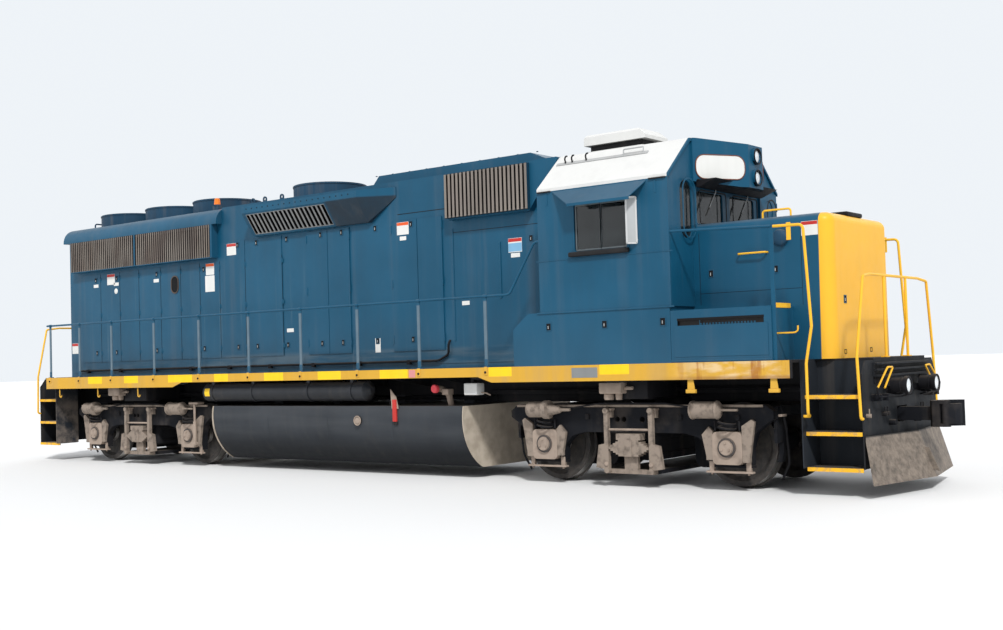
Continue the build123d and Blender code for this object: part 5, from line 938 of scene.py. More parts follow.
def radiator_row(rear, front, bar_behind, bar_ahead):
    """The places of one radiator grille's vanes between the bars at its two ends."""
    count = int((front - rear - 2 * RADIATOR_RIM) / RADIATOR_PITCH) - 1
    row = [(rear + front) / 2 + (place - (count - 1) / 2) * RADIATOR_PITCH for place in range(-2, count + 2)]
    half = RADIATOR_VANE / 2
    return [x for x in row if rear + bar_behind + half < x < front - bar_ahead - half]


vane_xs = radiator_row(RADIATOR_X[0], RADIATOR_X[1], 0, BAR)
vane_xs += radiator_row(RADIATOR_X[1], RADIATOR_X[2], BAR, BAR + RADIATOR_RIM / 2)
piece("radiator_vanes", vanes(vane_xs, RADIATOR_FACE, RADIATOR_Z, RADIATOR_VANE, 0.006), vane_brown)
bars = [applied((RADIATOR_X[1] - 0.018, RADIATOR_X[1] + 0.018), (RADIATOR_Z[0], RADIATOR_Z[1] - 0.002),
                RADIATOR_FACE, 0.008, 0.002, sunk=VANE_SUNK),
        applied((RADIATOR_X[0], RADIATOR_X[2]), (RADIATOR_Z[0] - 0.001, RADIATOR_Z[0] + 0.012),
                RADIATOR_FACE, 0.007, 0.002, sunk=VANE_SUNK)]
piece("radiator_frames", across(bars), blue)
vane_xs = [sum(INTAKE_X) / 2 + place * INTAKE_PITCH for place in range(-10, 11)]
piece("intake_vanes", vanes(vane_xs, INTAKE_FACE, INTAKE_Z, INTAKE_VANE, 0.005), vane_grey)

# Roof: guard wires over the fans, the beacon's lens, the hatch's bolts, and the holes over the brake slats
FAN_XS = (-6.856, -5.448, -4.040, -1.376)
FAN_TOP = 4.702
GUARD_RADII, SPOKES = (0.20, 0.36, 0.50, 0.55, 0.60), 16
wires = [ring((0, 0, FAN_TOP - 0.012), radius, 0.004, "Z", 40, 4) for radius in GUARD_RADII]
for spoke in range(SPOKES):
    angle = math.tau * (spoke + 0.5) / SPOKES
    way = Vector((math.cos(angle), math.sin(angle), 0))
    height = Vector((0, 0, FAN_TOP - 0.018))
    wires.append(rod(way * 0.12 + height, way * 0.612 + height, 0.004, 6))
piece("fan_guards", copies(wires, [(x, 0, 0) for x in FAN_XS]), plain_black)

BEACON = (-3.430, -0.740, HOOD_TOP)
beacon = lathe([(0.100, 0.0), (0.100, 0.058), (0.112, 0.0575), (0.118, 0.056), (0.196, 0.0475),
                (0.206, 0.045), (0.214, 0.030), (0.217, 0.0)], BEACON, "Z", 28)
piece("beacon_lens", [beacon], amber)
hatch_bolt = stud((0, 0, 0), 0.016, 0.008, 0.012, 0.011, "Z", 10)
hatch_bolts = copies([hatch_bolt], [(0.25 + 0.35 * n, -0.57, 4.627) for n in range(10)])
piece("hatch_bolts", across(hatch_bolts), blue_roof)
# The holes over the brake slats are dark discs: painted shade.
hole = panel((0, -1.2502, 0), RIGHTWARD, 0.022, 0.022, 0.010, 0.0014)
holes = copies([hole], [(-2.08 + 0.131 * n, 0, 4.290) for n in range(19)])
piece("blister_holes", across(holes), seams_and_painted_shade)

# Cab: window frames and sashes, arm rests, wind deflectors, gaskets, wipers
WINDOW_X, WINDOW_Z, WINDOW_WIDE, WINDOW_HIGH = 5.050, 3.363, 0.800, 0.610
SASH_SHIFT = WINDOW_WIDE / 4 - 0.010
SCREEN_YS, SCREEN_Z, SCREEN_WIDE, SCREEN_HIGH = (-0.450, 0.450), 3.560, 0.700, 0.420
CORNER_Z, CORNER_WIDE, CORNER_HIGH = 3.518, 0.300, 0.740
frames = paint([panel((WINDOW_X, -SILL_Y, WINDOW_Z), RIGHTWARD, WINDOW_WIDE + 0.050, WINDOW_HIGH + 0.050,
                      0.050, 0.010, rim=0.024)], blue)
for x in (WINDOW_X - SASH_SHIFT, WINDOW_X + SASH_SHIFT):
    sash = panel((x, -SILL_Y + 0.0165, WINDOW_Z), RIGHTWARD, WINDOW_WIDE / 2 - 0.004, WINDOW_HIGH - 0.012,
                 0.020, 0.010, rim=0.018)
    frames += paint([sash], dull_sash)
frames += paint([panel((WINDOW_X, -SILL_Y + 0.0168, WINDOW_Z), RIGHTWARD, WINDOW_WIDE - 0.001,
                       WINDOW_HIGH - 0.001, 0.040, 0.006, rim=0.009)], rubber)
piece("side_window_frames", across(frames))
arm_rest = applied((4.570, 5.480), (2.990, 3.052), SILL_Y, 0.058, 0.016, 3)
piece("side_window_rests", across([arm_rest]), rubber)

PANE_FACING = Vector((0.740, -0.673, 0)).normalized()
PANE = Vector((5.552, -1.585, 3.385))
deflector = paint([panel(PANE, PANE_FACING, 0.150, 0.600, 0.020, 0.010, rim=0.022, edge=0.002)], aluminium)
deflector += paint([panel(PANE + PANE_FACING * 0.003, PANE_FACING, 0.110, 0.560, 0.010, 0.004)], light_grey)
for z in (3.140, 3.630):
    deflector += paint([rod((5.600, -1.520, z), (5.596, -1.540, z), 0.010, 8)], aluminium)
piece("wind_deflectors", across(deflector))

gaskets = [panel((CAB_FRONT, y, SCREEN_Z), FORWARD, SCREEN_WIDE + 0.030, SCREEN_HIGH + 0.030, 0.052, 0.007,
                 rim=0.018, edge=0.002) for y in SCREEN_YS]
piece("window_gaskets", gaskets, rubber)
rims = [panel((wall, y, CORNER_Z), facing, CORNER_WIDE + 0.040, CORNER_HIGH + 0.040, 0.169, 0.008, rim=0.022,
              edge=0.002) for wall, y, facing in ((CAB_FRONT, -1.075, FORWARD), (CAB_REAR, 1.175, BACKWARD))]
piece("corner_window_rims", rims, rail_blue)

wipers = []
for y in SCREEN_YS:
    pivot = Vector((CAB_FRONT + 0.004, y + 0.040, 3.806))
    tip = Vector((CAB_FRONT + 0.026, y - 0.150, SCREEN_Z))
    blade = tip - Vector((0.012, 0, 0))
    arm = pipe([pivot + Vector((0.020, 0, 0)), pivot + Vector((0.032, -0.020, -0.030)), tip], 0.006, 0.01)
    wipers.append(rod(pivot, pivot + Vector((0.026, 0, 0)), 0.017, 12, 0.003))
    wipers += paint([arm], light_grey)
    wipers.append(rod(tip + Vector((0, 0.105, 0.135)), tip - Vector((0, 0.075, 0.097)), 0.006, 6))
    wipers.append(rod(blade + Vector((0, 0.115, 0.149)), blade - Vector((0, 0.087, 0.111)), 0.005, 6))
piece("wipers", wipers, wiper_black)

# Cab wall seams, ledges and gutters, and the rail with hooks on the roof's slope
trim = [applied((CAB_REAR + 0.004, CAB_FRONT - 0.004), (2.962, 2.974), SILL_Y, 0.005),
        applied((CAB_REAR + 0.002, CAB_FRONT - 0.002), (2.272, 2.292), SILL_Y, 0.014, 0.003)]
trim += [applied((x, x + 0.030), (3.700, 3.860), SILL_Y, 0.006, 0.002) for x in (4.200, 5.860)]
piece("cab_side_trim", across(trim), blue)
gutters = [applied(xs, (3.872, 3.890), SILL_Y, 0.024, 0.003) for xs in ((4.075, 4.290), (5.790, 6.030))]
piece("cab_gutters", across(gutters), rubber)

RIDGE, EAVE = Vector((0, -0.960, 4.428)), Vector((0, -1.524, 3.928))
SLOPE = (EAVE - RIDGE).normalized()
LIFT = Vector((0, SLOPE.z, -SLOPE.y))


def on_slope(x, down, out):
    """A point on the roof's right-hand slope: down from the ridge and out from the sheet."""
    return RIDGE + SLOPE * down + LIFT * out + Vector((x, 0, 0))


RAIL_XS, RAIL_TOP, RAIL_FOOT, RAIL_MIDDLE = (4.120, 5.550), 0.180, 0.232, 0.206
corners = [on_slope(RAIL_XS[0], RAIL_TOP, 0.001), on_slope(RAIL_XS[1], RAIL_TOP, 0.001),
           on_slope(RAIL_XS[1], RAIL_FOOT, 0.001), on_slope(RAIL_XS[0], RAIL_FOOT, 0.001)]
bar = slab(corners, LIFT * 0.012, 0.002)
hooks = [pipe([on_slope(x, RAIL_MIDDLE, 0.010), on_slope(x, RAIL_TOP, 0.070),
               on_slope(x + 0.015, 0.150, 0.090), on_slope(x + 0.020, 0.135, 0.075)], 0.011, 0.012)
         for x in (4.265, 4.375, 4.600)]
loop = pipe([on_slope(5.180, RAIL_MIDDLE, 0.008), on_slope(5.180, 0.150, 0.060),
             on_slope(5.480, 0.150, 0.060), on_slope(5.480, RAIL_MIDDLE, 0.008)], 0.010, 0.012)
piece("cab_roof_rail", paint([bar, loop], light_grey) + paint(hooks, plain_black))

# Lamp housing: blank number boards, lamp rings and lenses, a bracket on its top, the shade under it
BOARD_FACING = Vector((0.8622, -0.5066, 0))
BOARD = Vector((6.283, -0.570, 4.067)) + BOARD_FACING * 0.0003
boards = paint([panel(BOARD, BOARD_FACING, 0.740, 0.320, 0.130, 0.012, rim=0.012, edge=0.002)], board_edge)
boards += paint([panel(BOARD, BOARD_FACING, 0.722, 0.302, 0.121, 0.007)], sign_white)
piece("number_boards_blank", across(boards))
LAMP_FACE, LAMP_ZS = 6.510, (3.958, 4.238)
LENS_PROFILE = [(0.0, 0.0), (0.0, 0.0815), (0.004, 0.0815), (0.009, 0.070), (0.014, 0.045), (0.0165, 0.020),
                (0.0172, 0.0)]
RING_PROFILE = [(0.0, 0.090), (0.0, 0.107), (0.008, 0.108), (0.012, 0.103), (0.012, 0.094), (0.004, 0.0885),
                (0.0, 0.090)]
piece("headlight_lenses", [lathe(LENS_PROFILE, (LAMP_FACE, 0, z), "X", 28) for z in LAMP_ZS], lens)
rings = [lathe(RING_PROFILE, (LAMP_FACE + 0.0205, 0, z), "X", 32) for z in LAMP_ZS]
piece("headlight_rings", rings, plain_black)
bracket = [block((6.080, -0.560, 4.392), (6.150, -0.400, 4.404), 0.002),
           block((6.100, -0.545, 4.400), (6.112, -0.415, 4.446), 0.002)]
piece("lamp_housing_bracket", bracket, blue)
HOUSING_FOOT = 3.896
joint = block((CAB_FRONT + 0.030, -0.900, HOUSING_FOOT - 0.003),
              (CAB_FRONT + 0.046, 0.900, HOUSING_FOOT + 0.009), 0.002)
piece("lamp_housing_seam", [joint], rubber)
soffit = slab([(CAB_FRONT + 0.001, -0.880, HOUSING_FOOT), (CAB_FRONT + 0.001, -0.880, 3.802),
               (CAB_FRONT + 0.050, -0.880, 3.802), (6.380, -0.880, HOUSING_FOOT)], (0, 1.760, 0), 0.004)
piece("lamp_housing_soffit", [soffit], plain_black)

# Cab doors: gasket round the window and a flush handle on the side that faces out
DOOR_THICK, DOOR_WINDOW_Z = 0.0355, 3.518


def door_plate(face, out, near, far, y, half, zs):
    """A thin plate on a door's face, from one depth to another along the way out."""
    depths = sorted((face + out * near, face + out * far))
    return block((depths[0], y - half, zs[0]), (depths[1], y + half, zs[1]), 0.001)


for name, wall, out, y, handle_y in (
    ("cab_door_front", CAB_FRONT, 1, 1.195, 0.995), ("cab_door_rear", CAB_REAR, -1, -1.195, -0.995),
):
    face = wall + out * DOOR_THICK
    gasket = panel((face, y, DOOR_WINDOW_Z), (out, 0, 0), 0.290, 0.590, 0.145, 0.005, rim=0.020, edge=0.001)
    parts = paint([gasket], rubber)
    parts += paint([door_plate(face, out, 0, 0.003, handle_y, 0.026, (2.960, 3.120))], blue)
    parts += paint([door_plate(face, out, 0.0025, 0.006, handle_y, 0.012, (2.985, 3.095))], aluminium)
    piece(f"{name}_fittings", parts, body=name)

# Short hood: side lamp, grabs, latches, top cap, seams
NOSE_GRAB_Z, GRAB_ZS = 2.900, (3.328, 3.420)
dome = lathe([(-0.001, 0.0), (-0.001, 0.104), (0.040, 0.104), (0.058, 0.096), (0.072, 0.074), (0.080, 0.040),
              (0.083, 0.0)], (7.247, -NOSE_Y, 3.059), "-Y", 32)
piece("nose_side_dome", [dome], blue_roof)
side_grab = pipe([(6.697, -NOSE_Y + 0.002, NOSE_GRAB_Z), (6.697, -NOSE_Y - 0.070, NOSE_GRAB_Z),
                  (7.066, -NOSE_Y - 0.070, NOSE_GRAB_Z), (7.066, -NOSE_Y + 0.002, NOSE_GRAB_Z)], 0.013, 0.035)
piece("nose_side_grab", across([side_grab]), yellow)
piece("nose_latches", across(copies(latch(), [(7.167, -NOSE_Y, 2.688), (6.290, -NOSE_Y, 2.688)])))
top_grab = pipe([(6.960, -0.800, GRAB_ZS[0]), (6.960, -0.800, GRAB_ZS[1]), (7.330, -0.800, GRAB_ZS[1]),
                 (7.330, -0.800, GRAB_ZS[0])], 0.013, 0.035)
piece("nose_top_grab", [top_grab], yellow)
cap = block((7.600, -0.280, 3.322), (7.830, 0.200, 3.378), 0.018, 3)
piece("nose_cap", [dish(cap, UPWARD, 0.02, 0.006)], plain_black)
front_latch = turned(copies(latch(), [(0, 0, 0)]), math.pi / 2, (0, 0, 0))
piece("nose_front_latches", copies(front_latch, [(NOSE_FACE, -0.564, 2.294)]))
eyes = [panel((NOSE_FACE, y, z), FORWARD, 0.070, 0.055, 0.006, 0.003, rim=0.010)
        for y, z in ((-0.605, 1.667), (0.197, 1.681))]
piece("nose_front_eyes", eyes, plain_black)
tag = block((7.584, -RAIL_Y - 0.004, 2.972), (7.640, -RAIL_Y + 0.004, 3.176), 0.003)
edge = block((7.369, -1.400, 2.205), (7.376, -1.000, 2.262), 0.002)
piece("rail_tag_and_box_edge", across([tag, edge]), yellow)
seams = [applied(xs, zs, NOSE_Y, 0.0012, 0.0006) for xs, zs in (
    ((6.130, 6.136), (2.300, 3.200)), ((6.130, 7.500), (2.440, 2.445)), ((7.500, 7.505), (2.240, 3.200)))]
piece("nose_seams", across(seams), seams_and_painted_shade)

# Battery boxes: grab, seams, and the louvre with its teeth
BOX_FACE_X = 7.369
battery_grab = pipe([(BOX_FACE_X, -1.400, 1.905), (7.600, -1.400, 1.905), (7.640, -1.400, 1.925),
                     (7.640, -1.400, 1.985)], 0.010, 0.02)
piece("battery_box_grabs", across([battery_grab]), yellow)
box_trim = [applied((6.430, 6.437), (1.610, 2.220), SILL_Y, 0.0012, 0.0006),
            applied((6.030, 7.370), (1.600, 1.622), SILL_Y, 0.010, 0.002)]
piece("battery_box_trim", across(box_trim), blue)
TOOTH_PITCH, TOOTH_WIDE = 0.042, 0.022
tooth = block((LOUVRE_X[0] + 0.30, -1.500, LOUVRE_Z[0] - 0.002),
              (LOUVRE_X[0] + 0.30 + TOOTH_WIDE, -1.494, LOUVRE_Z[0] + 0.026), 0.001)
piece("battery_box_teeth", across(copies([tooth], [(TOOTH_PITCH * n, 0, 0) for n in range(18)])), blue)
# A dark strip over the louvre's slot: painted shade under its edge.
louvre_shade_strip = applied(LOUVRE_X, (LOUVRE_Z[1] - 0.003, LOUVRE_Z[1] + 0.026), SILL_Y, 0.003)
piece("battery_box_louvre_strip", across([louvre_shade_strip]), seams_and_painted_shade)

# Walkway: stanchion feet and rail sleeves, hooks and brackets under the sill, blank marks on it
POSTS = (-7.450, -6.510, -5.520, -4.280, -3.060, -1.805, -0.581, 0.652, 1.880, 3.107)
SILL_FOOT = 1.380
foot_plate = applied((-0.026, 0.026), (1.482, 1.596), SILL_Y, 0.009, 0.003)
foot_bolt = stud((0, -SILL_Y - 0.008, 1.520), 0.017, 0.010, 0.014, 0.012, "-Y", 10, -0.001)
feet = paint([foot_plate], ochre_patch) + paint([foot_bolt], plain_black)
piece("stanchion_feet", across(copies(feet, [(x, 0, 0) for x in POSTS])))


def top_rail_z(x):
    """The height of the side rail, which falls a little towards the front."""
    return 2.570 - 0.005 * (x + 7.56) / 11.09


strap = block((-0.029, -RAIL_Y - 0.012, 1.594), (0.029, -RAIL_Y - 0.006, 1.700), 0.002)
sleeve = lathe([(-0.034, 0.0165), (-0.034, 0.022), (-0.030, 0.0245), (0.030, 0.0245), (0.034, 0.022),
                (0.034, 0.0165)], (0, -RAIL_Y, 0), "X", 16)
sleeves = copies([sleeve], [(x, 0, top_rail_z(x)) for x in POSTS])
piece("rail_sleeves", across(sleeves + copies([strap], [(x, 0, 0) for x in POSTS])), blue)

hook = pipe([(0, -1.494, SILL_FOOT + 0.010), (0, -1.494, 1.232), (0.045, -1.494, 1.218),
             (0.062, -1.494, 1.252)], 0.011, 0.014)
piece("sill_hooks", across(copies([hook], [(x, 0, 0) for x in (-7.182, -5.968, -4.772)])), ochre_patch)
stem = slab([(-0.040, -1.484, SILL_FOOT + 0.004), (0.036, -1.484, SILL_FOOT + 0.004), (0.052, -1.484, 1.262),
             (-0.046, -1.484, 1.262)], (0, -0.016, 0), 0.002)
foot_bar = block((-0.066, -1.510, 1.216), (0.066, -1.464, 1.262), 0.006, 2)
piece("sill_brackets", across(copies([stem, foot_bar], [(x, 0, 0) for x in (6.265, 7.360)])), ochre_patch)
piece("blank_sill_mark", [plate((1.750, -SILL_Y - 0.001, 1.522), (0.120, 0.004, 0.110), 0.001)], pink)
piece("blank_sill_patch", [plate((4.734, -SILL_Y - 0.001, 1.490), (0.400, 0.004, 0.130), 0.001)], grey)
piece("sill_pads", across([block((3.560, -1.520, 1.386), (3.880, -1.470, 1.420), 0.004)]), grey)

# Equipment under the walkways: valve blocks, the light box and pipes
LARGE_CUP = [(0.0, 0.0), (0.0, 0.060), (0.020, 0.068), (0.070, 0.068), (0.085, 0.050), (0.085, 0.0)]
SMALL_CUP = [(0.0, 0.0), (0.0, 0.042), (0.060, 0.046), (0.085, 0.046), (0.085, 0.0)]
BRACKET_TOP = 1.560


def brake_valve(x, z):
    """A valve block on a hanger, with two cups under it and a stub pipe ahead."""
    return [
        block((x, -1.400, z + 0.060), (x + 0.340, -1.180, z + 0.205), 0.018, 2),
        lathe(LARGE_CUP, (x + 0.090, -1.290, z - 0.020), "Z", 16),
        lathe(SMALL_CUP, (x + 0.240, -1.290, z - 0.020), "Z", 16),
        rod((x + 0.330, -1.300, z + 0.130), (x + 0.460, -1.300, z + 0.130), 0.024, 12, 0.004),
        block((x + 0.120, -1.320, z + 0.195), (x + 0.200, -1.240, BRACKET_TOP), 0.004),
    ]


piece("brake_valves", across(brake_valve(4.860, 1.150) + brake_valve(-5.800, 1.175)), dusty)
cut_box = block((2.560, -1.350, 1.205), (2.800, -1.180, 1.372), 0.014, 2)
light_box = paint([dish(cut_box, RIGHTWARD, 0.018, 0.004)], plain_white)
light_box += paint([block((2.640, -1.290, 1.365), (2.700, -1.230, BRACKET_TOP), 0.004)], plain_black)
cable = pipe([(2.795, -1.250, 1.235), (2.890, -1.250, 1.230), (2.960, -1.250, 1.200)], 0.010, 0.02)
light_box += paint([cable], dusty)
piece("fuel_cut_box", light_box)

WALK_PIPE, TRAIN_PIPE = (-1.455, 1.440), (-0.520, 1.240, 1.130)
y, z = WALK_PIPE
runs = [pipe([(-7.400, y, z), (-3.500, y, z), (-3.380, y, z + 0.060)], 0.020, 0.05),
        pipe([(2.700, y, z + 0.060), (2.850, y, z), (7.450, y, z)], 0.020, 0.05)]
y, z, low = TRAIN_PIPE
runs.append(pipe([(-7.300, y, z), (-2.900, y, z), (-2.800, y, low), (2.300, y, low), (2.400, y, z),
                  (7.300, y, z)], 0.026, 0.06))
piece("underframe_pipes", across(runs), plain_black)

# Fuel tank: gauge, filler cap and elbow, seams
gauge = paint([block((1.178, -1.350, 0.820), (1.254, -1.318, 1.146), 0.008, 2)], red)
gauge += paint([block((1.186, -1.337, 0.770), (1.262, -1.316, 0.822), 0.005)], dark_iron)
guard = slab([(1.150, -1.332, 1.010), (1.285, -1.332, 1.010), (1.240, -1.332, 1.190), (1.130, -1.332, 1.300)],
             (0, 0.014, 0), 0.002)
gauge += paint([guard, block((1.190, -1.322, 1.020), (1.244, -1.240, 1.050), 0.004)], dusty)
piece("tank_gauge", gauge)

CAP_X, CAP_Z = 1.975, 1.297
cap = paint([lathe([(0.0, 0.0), (0.0, 0.062), (0.010, 0.064), (0.045, 0.060), (0.055, 0.050), (0.055, 0.0)],
                   (CAP_X, -1.265, CAP_Z), "-Y", 20)], cap_red)
elbow = pipe([(CAP_X, -1.270, CAP_Z), (CAP_X, -1.150, CAP_Z), (CAP_X + 0.115, -1.120, 1.220),
              (CAP_X + 0.115, -1.060, 1.030)], 0.046, 0.04, 12)
cap += paint([elbow, block((2.040, -1.220, 1.205), (2.160, -1.090, 1.290), 0.010, 2)], dusty)
piece("tank_emergency_cap", cap)

FILLER_X, FILLER_Z = 0.450, 0.830
filler = [ring((FILLER_X, -1.345, FILLER_Z), 0.066, 0.010, "Y", 24, 8),
          stud((FILLER_X, -1.338, FILLER_Z), 0.050, 0.010, 0.016, 0.036, "-Y")]
piece("tank_filler", across(filler), dusty)
weld = block((-0.004, -1.3225, 0.560), (0.004, -1.319, 0.880), 0.001)
piece("tank_seams", across(copies([weld], [(x, 0, 0) for x in (-1.590, -0.225, 1.140)])), tank)

# Trucks: the right-hand side of each, which the left side mirrors
BOLT_CIRCLES = (
    (0.056, (90, 210, 330), 1.213, 1.228, 0.013),
    (0.105, (45, 135, 225, 315), 1.168, 1.202, 0.014),
)
SPRING_Y, COIL_ZS, GUIDE_ZS = 1.150, (0.775, 0.835), (0.742, 0.860)
HANGERS, LUGS, STRUT = (-0.335, 0.335), (-1.500, -0.700, 0.700, 1.500), 1.600


def journal_bolts(x):
    """Three bolts on a journal box's round cover, and four at its corners."""
    made = []
    for reach, angles, inner, outer, radius in BOLT_CIRCLES:
        for angle in angles:
            bolt_x = x + reach * math.cos(math.radians(angle))
            bolt_z = BOX_Z + reach * math.sin(math.radians(angle))
            made.append(rod((bolt_x, -inner, bolt_z), (bolt_x, -outer, bolt_z), radius, 6, 0.002))
    return made


def box_spring(x):
    """Two coils over a journal box, between upright guides."""
    made = []
    for z in COIL_ZS:
        coil = ring((x, -SPRING_Y, z), 0.105, 0.014, "Z", 28, 8)
        made += turned([coil], math.radians(10), (x, -SPRING_Y, z), "Y")
    for guide_x in (x - 0.165, x + 0.165):
        made.append(rod((guide_x, -SPRING_Y, GUIDE_ZS[0]), (guide_x, -SPRING_Y, GUIDE_ZS[1]), 0.013, 8))
    return made


def sand_pipe(x, out):
    """A pipe down to the rail on the outer side of an axle."""
    return pipe([(x + out * 0.590, -0.900, 1.040), (x + out * 0.640, -0.860, 0.800),
                 (x + out * 0.640, -0.790, 0.340), (x + out * 0.530, -0.760, 0.140)], 0.016, 0.05)


def tie_bar(x):
    """A bar under the journal box, hung from the foot of each pedestal."""
    made = [block((x - 0.315, -1.140, 0.222), (x + 0.315, -1.062, 0.246), 0.004)]
    for leg in (x - 0.250, x + 0.250):
        made.append(block((leg - 0.032, -1.112, 0.240), (leg + 0.032, -1.066, 0.364), 0.005))
        made.append(rod((leg, -1.100, 0.200), (leg, -1.100, 0.226), 0.014, 6, 0.002))
    return made


def damper(x):
    """An upright damper between two brackets."""
    return [
        rod((x, -1.205, 0.420), (x, -1.205, 0.780), 0.030, 14, 0.005),
        rod((x, -1.205, 0.770), (x, -1.205, 1.080), 0.021, 12, 0.004),
        block((x - 0.130, -1.235, 1.070), (x + 0.110, -1.080, 1.110), 0.008),
        block((x - 0.040, -1.235, 0.375), (x + 0.040, -1.120, 0.425), 0.008),
    ]


for name, truck_x in (("truck_front", TRUCK_X), ("truck_rear", -TRUCK_X)):
    iron, dust = [], []
    for axle in AXLES:
        x, out = truck_x + axle, math.copysign(1, axle)
        dust += journal_bolts(x)
        iron += box_spring(x)
        iron.append(sand_pipe(x, out))
        dust += tie_bar(x)
        dust.append(block((x + out * 0.600, -0.985, 0.905), (x + out * 0.650, -0.845, 0.935), 0.004))
    dust.append(rod((truck_x - 0.305, -1.205, 0.742), (truck_x + 0.305, -1.205, 0.742), 0.016, 10))
    for x in (truck_x + hanger for hanger in HANGERS):
        dust.append(plate((x, -1.150, 1.000), (0.120, 0.110, 0.028), 0.005))
        dust.append(stud((x, -1.240, 0.300), 0.030, 0.012, 0.018, 0.022, "-Y", 10))
    iron.append(pipe([(truck_x - 0.870, -1.190, 1.020), (truck_x - 0.500, -1.150, 1.076),
                      (truck_x + 0.500, -1.150, 1.076), (truck_x + 0.900, -1.190, 1.030)], 0.012, 0.04))
    iron += [plate((truck_x + lug, -1.118, 0.900), (0.060, 0.030, 0.070), 0.006) for lug in LUGS]
    if name == "truck_rear":
        dust += damper(truck_x + STRUT)
    piece(f"{name}_iron", across(iron), dark_iron, body=name)
    piece(f"{name}_dusty_iron", across(dust), dusty, body=name)

# Between the trucks' sides: air ducts over the motors, trays under the centre sill, a bolster in each truck
DUCT_X, DUCT_FOOT, DUCT_NECK, DUCT_TOP = 0.880, 1.068, 1.130, 1.500
TRAY_Y, TRAY_Z, TRAY_FROM, TRAY_TO_END, TRAY_TO_MIDDLE = 0.400, (1.070, 1.185), 0.460, 2.360, 2.780


def motor_duct(x):
    """An air duct from the deck, with three folds over a motor."""
    made = [block((x - 0.230, -0.330, DUCT_NECK), (x + 0.230, 0.330, DUCT_TOP), 0.020, 2)]
    for fold in range(3):
        made.append(plate((x, 0, DUCT_FOOT + 0.008 + 0.018 * fold), (0.400, 0.600, 0.012), 0.005))
    made.append(block((x - 0.180, -0.280, DUCT_FOOT), (x + 0.180, 0.280, DUCT_NECK + 0.010), 0.004))
    return made


for name, truck_x in (("truck_front", TRUCK_X), ("truck_rear", -TRUCK_X)):
    ducts = []
    for side in SIDES:
        ducts += motor_duct(truck_x + side * DUCT_X)
        reach = TRAY_TO_END if truck_x * side > 0 else TRAY_TO_MIDDLE
        near, far = sorted((truck_x + side * TRAY_FROM, truck_x + side * reach))
        ducts.append(block((near, -TRAY_Y, TRAY_Z[0]), (far, TRAY_Y, TRAY_Z[1]), 0.012, 2))
    ducts.append(block((truck_x - 0.330, -1.260, 1.135), (truck_x + 0.330, 1.260, 1.400), 0.020, 2))
    piece(f"{name}_ducts_and_trays", ducts, plain_black)
    beam = block((truck_x - 0.270, -0.980, 0.330), (truck_x + 0.270, 0.980, 0.700), 0.050, 3)
    for facing in (BACKWARD, FORWARD):
        dish(beam, facing, 0.040, 0.020)
    piece(f"{name}_bolster", [beam], dark_iron, body=name)

# Ends: cut levers, hose cocks, lamp glass and the lamps' brackets
PILOT = 8.306
LEVER_X, DITCH_Y, DITCH_Z = PILOT + 0.112, -0.480, 1.256
COCK_YS, COCK_Z = (-1.120, -0.640, -0.560), 0.930
for end, name in ((1, "front"), (-1, "rear")):
    x = end * LEVER_X
    lever = pipe([(x, -1.040, 1.244), (x, -0.712, 1.476), (x, -0.548, 1.470), (x, -0.828, 1.236)],
                 0.012, 0.03)
    piece(f"cut_lever_handle_{name}", across([lever]), yellow)
    shaft = [pipe([(x, -1.060, 1.250), (x, -1.020, 1.140), (x, -0.300, 1.120),
                   (end * (PILOT + 0.220), -0.240, 1.150)], 0.011, 0.04)]
    for y in (-0.960, -0.760):
        shaft.append(block((end * PILOT, y - 0.014, 1.090), (end * (PILOT + 0.128), y + 0.014, 1.168), 0.004))
    piece(f"cut_lever_shaft_{name}", across(shaft), casting)
    wall, root = end * PILOT, end * (PILOT - SUNK)
    cocks = []
    for y in COCK_YS:
        cocks.append(rod((root, y, COCK_Z), (end * (PILOT + 0.060), y, COCK_Z), 0.024, 12, 0.003))
        cocks.append(block((end * (PILOT + 0.028), y - 0.010, COCK_Z + 0.015),
                           (end * (PILOT + 0.042), y + 0.010, COCK_Z + 0.080), 0.003))
    cocks.append(rod((root, -0.420, 0.820), (end * (PILOT + 0.080), -0.420, 0.820), 0.034, 14, 0.004))
    cocks.append(block((wall, -0.870, 1.290), (end * (PILOT + 0.016), -0.620, 1.350), 0.003))
    piece(f"hose_cocks_{name}", across(cocks), casting)
domes = [lathe([(0.0, 0.0), (0.0, 0.0855), (0.006, 0.0855), (0.012, 0.066), (0.017, 0.034), (0.018, 0.0)],
               (8.561, DITCH_Y, DITCH_Z), "X", 28)]
piece("ditch_light_lenses", across(domes), lens)
clamps = [pipe([(PILOT + 0.002, DITCH_Y, 1.180), (PILOT + 0.140, DITCH_Y, 1.150),
                (PILOT + 0.200, DITCH_Y, 1.165)], 0.014, 0.03),
          ring((PILOT + 0.190, DITCH_Y, DITCH_Z), 0.0905, 0.006, "X", 28, 6)]
piece("ditch_light_clamps", across(clamps), plain_black)

# Rear wall: headlights on a raised plate, blank number boards, door seams
REAR, REAR_LAMPS, REAR_FACE = -7.650, (3.990, 4.270), -7.6503
rear_plate = block((REAR - 0.050, -0.160, 3.860), (REAR + 0.001, 0.160, 4.400), 0.020, 3)
rear_lights = paint([dish(rear_plate, BACKWARD, 0.014, 0.006)], blue)
rear_lights += paint([ring((REAR - 0.050, 0, z), 0.098, 0.012, "X", 32, 8) for z in REAR_LAMPS], aluminium)
rear_lights += paint([lathe([(0.0, 0.0), (0.0, 0.092), (0.008, 0.080), (0.014, 0.040), (0.016, 0.0)],
                            (REAR - 0.044, 0, z), "-X", 28) for z in REAR_LAMPS], lens)
piece("rear_headlights", rear_lights)
REAR_BOARD = (REAR_FACE, -0.560, 4.130)
rear_boards = paint([panel(REAR_BOARD, BACKWARD, 0.620, 0.300, 0.040, 0.020, rim=0.020, edge=0.003)],
                    board_edge)
rear_boards += paint([panel(REAR_BOARD, BACKWARD, 0.590, 0.270, 0.026, 0.010)], sign_white)
